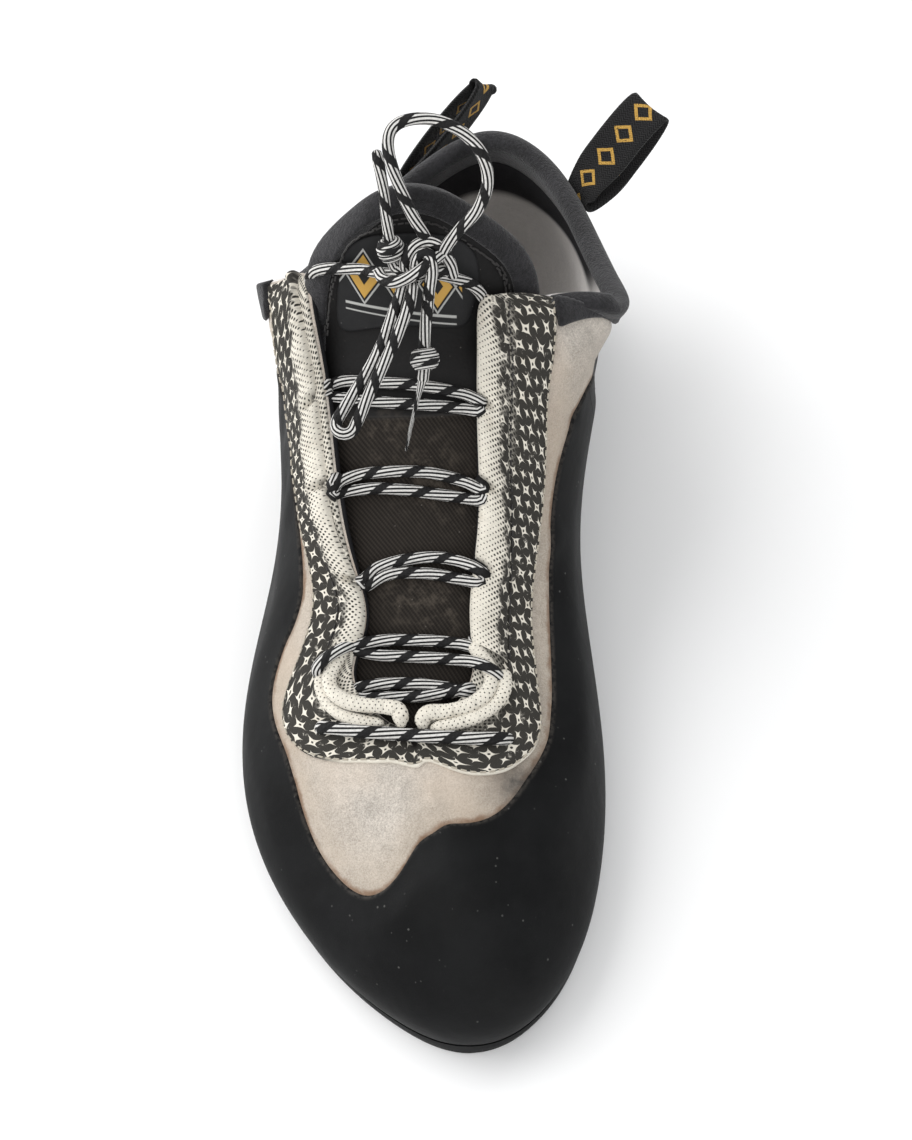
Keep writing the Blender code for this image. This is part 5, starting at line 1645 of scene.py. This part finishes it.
# Lace strands between the sides of the throat, as x, back from the toe and z, with the places in the
# ring where their two ends dive under the cloth
RUNGS = (
    (
        (
            4.75, 0.955, 29.3, 0.955,
            (
                (-15.6, 80.2, 46.7), (-10.2, 81.4, 46.9), (-1.8, 81.6, 47.3), (6.5, 80.7, 47.2),
                (12.6, 79.0, 47.6),
            ),
        ),
        (
            4.75, 0.95, 29.3, 0.95,
            (
                (-13.6, 77.4, 46.4), (-10.0, 78.0, 46.2), (-1.7, 78.2, 46.5), (6.5, 79.0, 47.0),
                (12.6, 80.2, 48.0),
            ),
        ),
    ),
    (
        (
            5.8, 0.83, 28.42, 0.95,
            (
                (-25.6, 84.2, 50.0), (-23.0, 86.2, 51.9), (-19.5, 88.2, 52.6), (-16.2, 90.2, 51.4),
                (-8.9, 91.8, 51.0), (1.2, 91.7, 51.4), (9.5, 91.0, 51.4), (14.2, 89.6, 51.6),
            ),
        ),
        (
            6.16, 0.95, 28.81, 0.85,
            (
                (-16.6, 89.4, 50.0), (-10.4, 88.4, 49.4), (-2.0, 87.9, 49.7), (6.3, 87.3, 50.0),
                (11.3, 86.2, 51.2), (14.9, 84.6, 52.6), (18.4, 83.2, 52.0),
            ),
        ),
    ),
    (
        (
            7.4, 0.95, 27.45, 0.95,
            (
                (-14.9, 106.6, 56.2), (-11.1, 109.2, 58.0), (-2.7, 110.6, 59.8), (5.6, 110.6, 60.3),
                (12.6, 107.6, 61.5), (16.0, 105.1, 61.4),
            ),
        ),
        (
            7.36, 0.95, 27.49, 0.95,
            (
                (-14.8, 105.0, 54.9), (-8.5, 107.3, 57.5), (0.7, 107.2, 58.4), (9.1, 105.6, 58.6),
                (15.2, 103.9, 59.8),
            ),
        ),
    ),
    (
        (
            8.37, 0.95, 26.58, 0.95,
            (
                (-23.6, 125.4, 69.2), (-20.9, 128.2, 68.8), (-15.8, 130.0, 68.9), (-8.1, 129.8, 70.5),
                (1.2, 129.1, 71.2), (10.0, 127.0, 70.6), (15.4, 123.4, 71.5),
            ),
        ),
        (
            8.32, 0.95, 26.63, 0.95,
            (
                (-23.4, 124.4, 67.6), (-19.6, 126.6, 66.2), (-11.5, 126.5, 67.7), (-3.0, 125.4, 68.4),
                (8.7, 123.8, 68.2), (15.2, 121.8, 70.2),
            ),
        ),
    ),
    (
        (
            9.08, 0.955, 25.73, 0.955,
            (
                (-24.4, 150.2, 79.6), (-20.2, 150.4, 80.8), (-10.2, 148.8, 82.4), (-0.0, 147.4, 82.9),
                (9.6, 145.4, 82.7), (14.4, 142.4, 83.2),
            ),
        ),
        (
            9.02, 0.955, 25.79, 0.955,
            (
                (-24.3, 147.6, 78.2), (-18.7, 146.3, 78.6), (-8.4, 144.4, 79.8), (1.7, 143.4, 80.4),
                (9.8, 142.3, 80.6), (14.4, 140.6, 81.8),
            ),
        ),
    ),
)
BAR = (
    (-24.6, 71.4, 41.6), (-23.6, 70.2, 44.6), (-20.8, 69.3, 45.7), (-15.9, 68.3, 46.5), (-10.8, 67.7, 46.9),
    (-4.2, 67.2, 47.2), (2.4, 66.6, 47.6), (9.0, 66.2, 48.0), (15.5, 66.1, 47.9), (19.6, 66.5, 47.2),
    (21.9, 67.4, 45.6), (22.8, 68.6, 42.6),
)
TOP_LATERAL = (
    (-30.8, 172.4, 87.5), (-30.8, 172.6, 91.2), (-29.4, 172.0, 96.6), (-25.8, 169.9, 101.5),
    (-17.0, 167.3, 104.8), (-10.3, 163.2, 108.4), (-5.0, 160.9, 110.4),
)
TOP_MEDIAL = (
    (14.2, 166.6, 94.2), (13.2, 166.8, 97.0), (11.2, 166.6, 100.0), (7.0, 165.1, 104.4),
    (3.3, 163.6, 107.8), (-0.7, 162.0, 110.4),
)
LOOP_UPPER = (
    (1.7, 164.6, 112.6), (1.1, 166.7, 117.5), (-1.8, 168.7, 124.0), (-5.1, 172.9, 131.0),
    (-7.1, 177.0, 137.0), (-6.8, 180.4, 140.2), (-4.2, 182.4, 141.8), (0.6, 183.0, 142.5),
    (5.8, 182.2, 142.2), (11.3, 179.9, 140.4), (15.5, 176.3, 137.0), (16.7, 172.2, 132.0),
    (14.4, 168.6, 126.6), (9.8, 166.4, 121.5), (6.4, 164.9, 117.0), (4.4, 163.8, 113.6),
)
LOOP_LOWER = (
    (-3.6, 159.6, 110.8), (-4.7, 157.4, 109.2), (-6.0, 154.0, 107.2), (-7.6, 149.4, 105.2),
    (-10.4, 142.6, 102.2), (-14.4, 135.8, 99.4), (-17.8, 130.6, 97.0), (-19.6, 127.6, 95.8),
    (-19.7, 125.3, 95.2), (-18.0, 124.0, 95.0), (-15.9, 124.6, 95.2), (-14.6, 127.0, 96.2),
    (-12.8, 131.2, 98.0), (-10.4, 136.4, 100.2), (-7.6, 142.0, 102.8), (-4.9, 147.8, 105.6),
    (-2.7, 153.3, 108.2), (-1.9, 157.5, 110.2),
)
END_UPPER = (
    (-4.6, 161.6, 110.6), (-6.4, 162.4, 111.2), (-7.3, 164.0, 113.0), (-7.6, 165.6, 115.6),
    (-8.2, 169.0, 122.0), (-8.9, 173.8, 128.6), (-10.4, 179.6, 133.8),
)
END_LOWER = (
    (2.2, 160.2, 109.4), (1.7, 156.3, 106.2), (1.1, 151.9, 102.6), (0.7, 147.9, 99.0), (0.9, 144.5, 96.2),
    (0.4, 141.4, 94.2),
)
TIP_LOWER = ((0.4, 141.4, 94.2), (-0.8, 136.6, 92.0), (-2.0, 130.9, 89.9), (-3.1, 124.4, 87.9))
KNOT_ARCS = (
    (
        (-10.5, 162.4, 109.6), (-9.3, 159.8, 110.2), (-6.4, 157.9, 111.4), (-2.8, 158.1, 113.0),
        (0.6, 159.7, 114.5), (3.7, 162.3, 115.2), (5.6, 164.9, 114.2), (6.2, 167.3, 112.4),
    ),
    (
        (-3.3, 159.6, 107.7), (-3.9, 161.3, 111.0), (-3.6, 163.4, 114.2), (-1.2, 165.2, 116.6),
        (2.0, 165.9, 117.2), (5.0, 165.0, 115.8), (7.0, 163.3, 112.5), (7.6, 162.0, 109.5),
    ),
    (
        (-1.2, 160.3, 110.0), (-1.3, 161.9, 113.4), (0.2, 163.2, 116.0), (2.5, 162.4, 116.0),
        (3.0, 159.6, 113.9), (2.3, 157.4, 110.8), (1.8, 156.5, 107.7),
    ),
    (
        (-6.5, 165.1, 111.2), (-5.8, 162.2, 111.0), (-3.0, 160.3, 110.9), (1.1, 160.9, 111.2),
        (5.1, 162.3, 111.0), (7.2, 162.6, 109.5),
    ),
)
STOPPERS = (
    # middle, axis, turns' radius, half length
    ("lace_stopper_upper", (-7.5, 165.3, 115.0), (-0.10, 0.40, 0.90), 2.3, 2.9),
    ("lace_stopper_lower", (0.85, 145.4, 97.0), (-0.04, 0.80, 0.60), 2.5, 2.5),
)


def lace_radius():
    return bpy.context.scene.shoe_sizes.lace / MM / 2


def lace_object(name, piece, *nodes):
    return dress(piece.object(name, finish("lace_braid")), "lace", *nodes)


def build_rungs():
    """Double strands between the eyestays, each end gone into its slit, and the bar over the vamp."""
    radius = lace_radius()
    for index, strands in enumerate(RUNGS):
        piece = Piece()
        for left, left_height, right, right_height, route in strands:
            ends = []
            for place, height in ((left, left_height), (right, right_height)):
                if height < 0.9:
                    dive = [(height + 0.012, 0.9), (height + 0.05, -2.0)]
                elif index:
                    dive = [(0.988, -0.8), (0.95, -2.8)]
                else:
                    dive = [(0.97, -2.6), (0.93, -3.0)]
                ends.append([shell_at(place, *stop) for stop in dive])
            starts, stops = ends[0][::-1], ends[1]
            line = smooth_route(np.concatenate([starts, from_toe(route), stops]), 0.8)
            sweep(piece, line, radius)
        lace_object(f"lace_rung_pair_{index + 1}", piece, f"lace_rung_{index + 1}")
    piece = Piece()
    sweep(piece, smooth_route(from_toe(BAR), 0.8), radius * 1.12)
    lace_object("lace_bar_cord", piece, "lace_bar")
    for side, route in (("lateral", TOP_LATERAL), ("medial", TOP_MEDIAL)):
        piece = Piece()
        sweep(piece, smooth_route(from_toe(route), 0.8), radius)
        lace_object(f"lace_to_knot_{side}", piece, f"lace_top_{side}")


def free_cord(name, route, radius, node, taper=None):
    line = smooth_route(from_toe(route), 0.8)
    share = np.linspace(0, 1, len(line))
    size = radius if taper is None else radius * np.interp(share, *taper)
    piece = Piece()
    sweep(piece, line, size)
    lace_object(name, piece, node)


def build_bow():
    """The knot with its two loops, and the two ends with their stopper knots."""
    radius = lace_radius()
    piece = Piece()
    for arc in KNOT_ARCS:
        sweep(piece, smooth_route(from_toe(arc), 0.6), radius)
    lace_object("lace_knot_wraps", piece, "lace_knot")
    for name, middle, axis, reach, half in STOPPERS:
        piece = Piece()
        axis = unit(np.array(axis))
        side = unit(np.cross(axis, [1.0, 0.1, 0.0]))
        other = np.cross(axis, side)
        share = np.linspace(-1, 1, 150)
        turns = share * math.pi * 4.2
        swell = reach * (1 - 0.42 * share**2)
        line = from_toe([middle])[0] + axis * (share * half * 0.72)[:, None]
        line = line + side * (np.cos(turns) * swell)[:, None] + other * (np.sin(turns) * swell)[:, None]
        sweep(piece, line, radius * 0.86, 12)
        lace_object(name + "_turns", piece, name)
    free_cord("lace_bow_upper", LOOP_UPPER, radius, "lace_loop_upper")
    free_cord("lace_bow_lower", LOOP_LOWER, radius, "lace_loop_lower")
    tip = ((0, 0.86, 0.93, 1), (1, 1, 1.08, 0.9))
    free_cord("lace_free_upper", END_UPPER, radius * 0.92, "lace_end_upper", tip)
    piece = Piece()
    upper = smooth_route(from_toe(END_LOWER), 0.8)
    sweep(piece, upper, radius)
    lower = smooth_route(from_toe(TIP_LOWER), 0.7)
    frayed = np.interp(np.linspace(0, 1, len(lower)), (0, 0.25, 1), (0.8, 0.42, 0.22))
    sweep(piece, lower, radius * frayed, 12)
    made = lace_object("lace_free_lower", piece, "lace_end_lower", "lace_tip_lower")


def stitch_tree():
    """Geometry Nodes: small capsules along the edges of a line, at an even pitch."""
    work, takes, gives = new_group(
        "stitch_row",
        [
            ("Geometry", "Geometry", None),
            ("Pitch", "Float", 0.0024),
            ("Length", "Float", 0.0017),
            ("Thread", "Float", 0.0005),
            ("Finish", "Material", None),
        ],
        [("Geometry", "Geometry")],
        "GeometryNodeTree",
    )

    def node(kind, settings=None, **inputs):
        made = work.node(kind, **(settings or {}))
        for key, value in inputs.items():
            work.feed(made.inputs[key.replace("_", " ")], value)
        return made.outputs[0]

    curve = node("GeometryNodeMeshToCurve", Mesh=takes["Geometry"])
    even = node("GeometryNodeResampleCurve", {"mode": "LENGTH"}, Curve=curve, Length=takes["Pitch"])
    half = work.times(takes["Length"], 0.5)
    low, high = (work.join(0.0, 0.0, reach) for reach in (work.times(half, -1.0), half))
    line = node("GeometryNodeCurvePrimitiveLine", Start=low, End=high)
    section = node("GeometryNodeCurvePrimitiveCircle", Resolution=6, Radius=work.times(takes["Thread"], 0.5))
    thread = node("GeometryNodeCurveToMesh", Curve=line, Profile_Curve=section, Fill_Caps=True)
    tangent = node("GeometryNodeInputTangent")
    turn = node("FunctionNodeAlignRotationToVector", {"axis": "Z"}, Vector=tangent)
    placed = node("GeometryNodeInstanceOnPoints", Points=even, Instance=thread, Rotation=turn)
    real = node("GeometryNodeRealizeInstances", Geometry=placed)
    work.feed(gives[0], node("GeometryNodeSetMaterial", Geometry=real, Material=takes["Finish"]))
    return work.tree


def stitch_lines(name, lines, finish_name, pitch, length, thread):
    """Stitches along lines in the last's millimetres, as one plain mesh."""
    mesh = bpy.data.meshes.new(name + "_guide")
    points, edges = [], []
    for line in lines:
        start = len(points)
        points += in_row(line).tolist()
        edges += [(start + index, start + index + 1) for index in range(len(line) - 1)]
    mesh.from_pydata(points, edges, [])
    guide = bpy.data.objects.new(name + "_guide", mesh)
    bpy.context.scene.collection.objects.link(guide)
    tree = bpy.data.node_groups.get("stitch_row") or stitch_tree()
    modifier = guide.modifiers.new("stitches", "NODES")
    modifier.node_group = tree
    sockets = {item.name: item.identifier for item in tree.interface.items_tree if item.in_out == "INPUT"}
    modifier[sockets["Pitch"]] = pitch
    modifier[sockets["Length"]] = length
    modifier[sockets["Thread"]] = thread
    modifier[sockets["Finish"]] = finish(finish_name)
    graph = bpy.context.evaluated_depsgraph_get()
    plain = bpy.data.meshes.new_from_object(guide.evaluated_get(graph))
    plain.name = name
    bpy.data.objects.remove(guide, do_unlink=True)
    plain.polygons.foreach_set("use_smooth", [True] * len(plain.polygons))
    made = bpy.data.objects.new(name, plain)
    bpy.context.scene.collection.objects.link(made)
    return made


def build_stitches():
    sizes = bpy.context.scene.shoe_sizes
    pitch, thread = sizes.stitch, sizes.thread
    rows = []
    places = ring_places(PRINT_ENDS[0] + 0.1, PRINT_ENDS[1] - 0.1, 1 / 10)
    inset = 0.75 / section_length(places)
    rows.append(shell_at(places, PRINT_LINE(places) + inset, PRINT_LIFT + 0.12))
    made = stitch_lines("band_stitches", rows, "thread_pale", pitch, pitch * 0.62, thread)
    dress(made, "print")
    rows = []
    for side, (start, end) in SLEEVE_ENDS.items():
        places = ring_places(start, end, 1 / 10)
        inset = 0.7 / section_length(places)
        rows.append(shell_at(places, SEAM_LINE(places) - inset, PRINT_LIFT + 0.12))
    dress(stitch_lines("seam_stitches", rows, "thread_dark", pitch * 0.9, pitch * 0.58, thread), "print")
    rows = []
    places = ring_places(COLLAR_ENDS[0] + 0.1, COLLAR_ENDS[1] - 0.1, 1 / 10)
    low = 1 - (COLLAR_WIDTH + 1.2) / section_length(places)
    rows.append(shell_at(places, low, 0.15))
    line, normal, inward = tongue_rim()
    zigzag = []
    dense = smooth_route(line, 1.15)
    for index, point in enumerate(dense):
        share = index / (len(dense) - 1) * (len(line) - 1)
        near = min(int(share), len(line) - 1)
        reach = 7.4 + (1.3 if index % 2 else 0.0)
        zigzag.append(point + inward[near] * reach + normal[near] * 0.5)
    rows.append(np.array(zigzag[10:-10]))
    dress(stitch_lines("edge_stitches", rows, "thread_dark", pitch * 0.7, pitch * 0.6, thread), "fleece")


def build_stage():
    """Floor, soft studio light and the photograph's camera."""
    mesh = bpy.data.meshes.new("studio_floor")
    side = 3.0
    corners = [(x * side, y * side, 0) for x, y in ((-1, -1), (1, -1), (1, 1), (-1, 1))]
    mesh.from_pydata(corners, [], [(0, 1, 2, 3)])
    mesh.materials.append(finish("floor_paper"))
    floor = bpy.data.objects.new("studio_floor", mesh)
    bpy.context.scene.collection.objects.link(floor)
    world = bpy.data.worlds.new("studio_air")
    bpy.context.scene.world = world
    world.use_nodes = True
    air = Finish("studio_air", world.node_tree)
    sideways = air.node("SeparateXYZ", air.node("TexCoord").outputs["Generated"]).outputs[0]
    bright = air.mix(air.step(sideways, 0.75, -0.55), (0.42, 0.43, 0.44), (1.0, 1.0, 1.0))
    air.feed(world.node_tree.nodes["Background"].inputs[0], bright)
    world.node_tree.nodes["Background"].inputs[1].default_value = 0.90
    for name, place, aim, size, watts in (
        ("key_softbox", (-0.75, 0.25, 0.95), (0, 0, 0.05), 1.1, 9.5),
        ("front_fill", (0.35, -0.95, 0.75), (0, 0, 0.05), 1.1, 6.5),
        ("side_strip", (-0.90, 0.45, 0.16), (0, 0, 0.05), 0.4, 2.6),
        ("back_strip", (0.55, 0.85, 0.65), (0, 0.02, 0.06), 0.5, 2.6),
    ):
        lamp = bpy.data.lights.new(name, "AREA")
        lamp.size = size
        lamp.energy = watts
        made = bpy.data.objects.new(name, lamp)
        made.location = place
        made.rotation_euler = (Vector(aim) - Vector(place)).to_track_quat("-Z", "Y").to_euler()
        bpy.context.scene.collection.objects.link(made)
    lens = bpy.data.cameras.new("photo_camera")
    lens.sensor_fit = "VERTICAL"
    lens.sensor_height = 36.0
    lens.lens = 78.8
    lens.clip_start = 0.01
    camera = bpy.data.objects.new("photo_camera", lens)
    right, up, forward = CAMERA_WAYS
    turn = Matrix((right, up, [-value for value in forward])).transposed()
    camera.matrix_world = Matrix.Translation(Vector(CAMERA_PLACE) * MM) @ turn.to_4x4()
    bpy.context.scene.collection.objects.link(camera)
    bpy.context.scene.camera = camera
    bpy.context.scene.view_settings.view_transform = "Standard"


CAMERA_PLACE = (47.95, -354.95, 590.0)
CAMERA_WAYS = ((0.99735, 0.05009, -0.05275), (-0.01453, 0.84777, 0.53017), (-0.0713, 0.528, -0.8462))


def build_finishes():
    sizes, colours = bpy.context.scene.shoe_sizes, bpy.context.scene.shoe_colours
    make_groups()
    suede_finish(colours)
    lining_finish(colours)
    rubber_finish(colours)
    print_finish(colours, sizes, "star_print", False)
    print_finish(colours, sizes, "sleeve_print", True)
    fleece_finish(colours)
    tongue_finish(colours)
    badge_finish(colours)
    insole_finish()
    webbing_finish(colours)
    lace_finish(colours)
    thread_finish("thread_pale", (0.42, 0.38, 0.31))
    thread_finish("thread_dark", (0.030, 0.028, 0.027))
    floor = Finish("floor_paper")
    tone = floor.mix(floor.noise(floor.object_mm(), 0.01, 2, 0.5), (0.90, 0.90, 0.90), (0.93, 0.93, 0.93))
    floor.done(tone, 0.8, None, Specular_IOR_Level=0.2)


def build_tongue_and_rim():
    build_tongue()
    build_tongue_rim()


class SHOE_OT_finishes(bpy.types.Operator):
    """Builds the materials and the effects that they share"""

    bl_idname = "shoe.finishes"
    bl_label = "Finishes"

    def execute(self, context):
        build_finishes()
        return {"FINISHED"}


class SHOE_OT_outsole(bpy.types.Operator):
    """Builds the rubber sole with its rounded edge"""

    bl_idname = "shoe.outsole"
    bl_label = "Outsole"

    def execute(self, context):
        build_outsole()
        return {"FINISHED"}


class SHOE_OT_insole(bpy.types.Operator):
    """Builds the felt insole"""

    bl_idname = "shoe.insole"
    bl_label = "Insole"

    def execute(self, context):
        build_insole()
        return {"FINISHED"}


class SHOE_OT_upper(bpy.types.Operator):
    """Builds the hollow leather upper with its creases"""

    bl_idname = "shoe.upper"
    bl_label = "Upper"

    def execute(self, context):
        build_upper()
        return {"FINISHED"}


class SHOE_OT_rands(bpy.types.Operator):
    """Builds the rubber rands of toe and heel"""

    bl_idname = "shoe.rands"
    bl_label = "Rands"

    def execute(self, context):
        build_rands()
        return {"FINISHED"}


class SHOE_OT_star_band(bpy.types.Operator):
    """Builds the printed cloth round the throat"""

    bl_idname = "shoe.star_band"
    bl_label = "Star band"

    def execute(self, context):
        build_star_band()
        return {"FINISHED"}


class SHOE_OT_sleeves(bpy.types.Operator):
    """Builds the slit cloth tunnels along the throat"""

    bl_idname = "shoe.sleeves"
    bl_label = "Lace sleeves"

    def execute(self, context):
        build_sleeves()
        return {"FINISHED"}


class SHOE_OT_bindings(bpy.types.Operator):
    """Builds the rolled bindings at the toe end of the throat"""

    bl_idname = "shoe.bindings"
    bl_label = "Throat rolls"

    def execute(self, context):
        build_bindings()
        return {"FINISHED"}


class SHOE_OT_collar(bpy.types.Operator):
    """Builds the padded roll of the collar"""

    bl_idname = "shoe.collar"
    bl_label = "Collar"

    def execute(self, context):
        build_collar()
        return {"FINISHED"}


class SHOE_OT_tongue(bpy.types.Operator):
    """Builds the tongue and its fleece rim"""

    bl_idname = "shoe.tongue"
    bl_label = "Tongue"

    def execute(self, context):
        build_tongue_and_rim()
        return {"FINISHED"}


class SHOE_OT_badge(bpy.types.Operator):
    """Builds the patch on the tongue with its plain ornament"""

    bl_idname = "shoe.badge"
    bl_label = "Badge"

    def execute(self, context):
        build_badge()
        return {"FINISHED"}


class SHOE_OT_pull_loops(bpy.types.Operator):
    """Builds the webbing loops at the heel"""

    bl_idname = "shoe.pull_loops"
    bl_label = "Pull loops"

    def execute(self, context):
        build_pull_loops()
        return {"FINISHED"}


class SHOE_OT_rungs(bpy.types.Operator):
    """Builds the strands between the eyestays and the bar"""

    bl_idname = "shoe.rungs"
    bl_label = "Lace rungs"

    def execute(self, context):
        build_rungs()
        return {"FINISHED"}


class SHOE_OT_bow(bpy.types.Operator):
    """Builds the knot, its loops and the free ends"""

    bl_idname = "shoe.bow"
    bl_label = "Bow"

    def execute(self, context):
        build_bow()
        return {"FINISHED"}


class SHOE_OT_stitches(bpy.types.Operator):
    """Builds the rows of stitches by Geometry Nodes"""

    bl_idname = "shoe.stitches"
    bl_label = "Stitches"

    def execute(self, context):
        build_stitches()
        return {"FINISHED"}


class SHOE_OT_stage(bpy.types.Operator):
    """Builds the floor, the lights and the camera"""

    bl_idname = "shoe.stage"
    bl_label = "Stage"

    def execute(self, context):
        build_stage()
        return {"FINISHED"}


STEPS = (
    SHOE_OT_finishes,
    SHOE_OT_outsole,
    SHOE_OT_insole,
    SHOE_OT_upper,
    SHOE_OT_rands,
    SHOE_OT_star_band,
    SHOE_OT_sleeves,
    SHOE_OT_bindings,
    SHOE_OT_collar,
    SHOE_OT_tongue,
    SHOE_OT_badge,
    SHOE_OT_pull_loops,
    SHOE_OT_rungs,
    SHOE_OT_bow,
    SHOE_OT_stitches,
    SHOE_OT_stage,
)


class SHOE_PT_dressing(bpy.types.Panel):
    """Lists the sizes, the colours and the steps of the dressing"""

    bl_label = "Climbing Shoe"
    bl_idname = "SHOE_PT_dressing"
    bl_space_type = "VIEW_3D"
    bl_region_type = "UI"
    bl_category = "Shoe"

    def draw(self, context):
        for group in (context.scene.shoe_sizes, context.scene.shoe_colours):
            for name in group.__annotations__:
                self.layout.prop(group, name)
        for step in STEPS:
            self.layout.operator(step.bl_idname)


CLASSES = (ShoeSizes, ShoeColours, *STEPS, SHOE_PT_dressing)


def register():
    for each in CLASSES:
        bpy.utils.register_class(each)
    bpy.types.Scene.shoe_sizes = PointerProperty(type=ShoeSizes)
    bpy.types.Scene.shoe_colours = PointerProperty(type=ShoeColours)


def unregister():
    del bpy.types.Scene.shoe_colours
    del bpy.types.Scene.shoe_sizes
    for each in reversed(CLASSES):
        bpy.utils.unregister_class(each)


def main():
    register()
    for step in STEPS:
        getattr(bpy.ops.shoe, step.bl_idname.split(".")[1])()


if __name__ == "__main__":
    main()
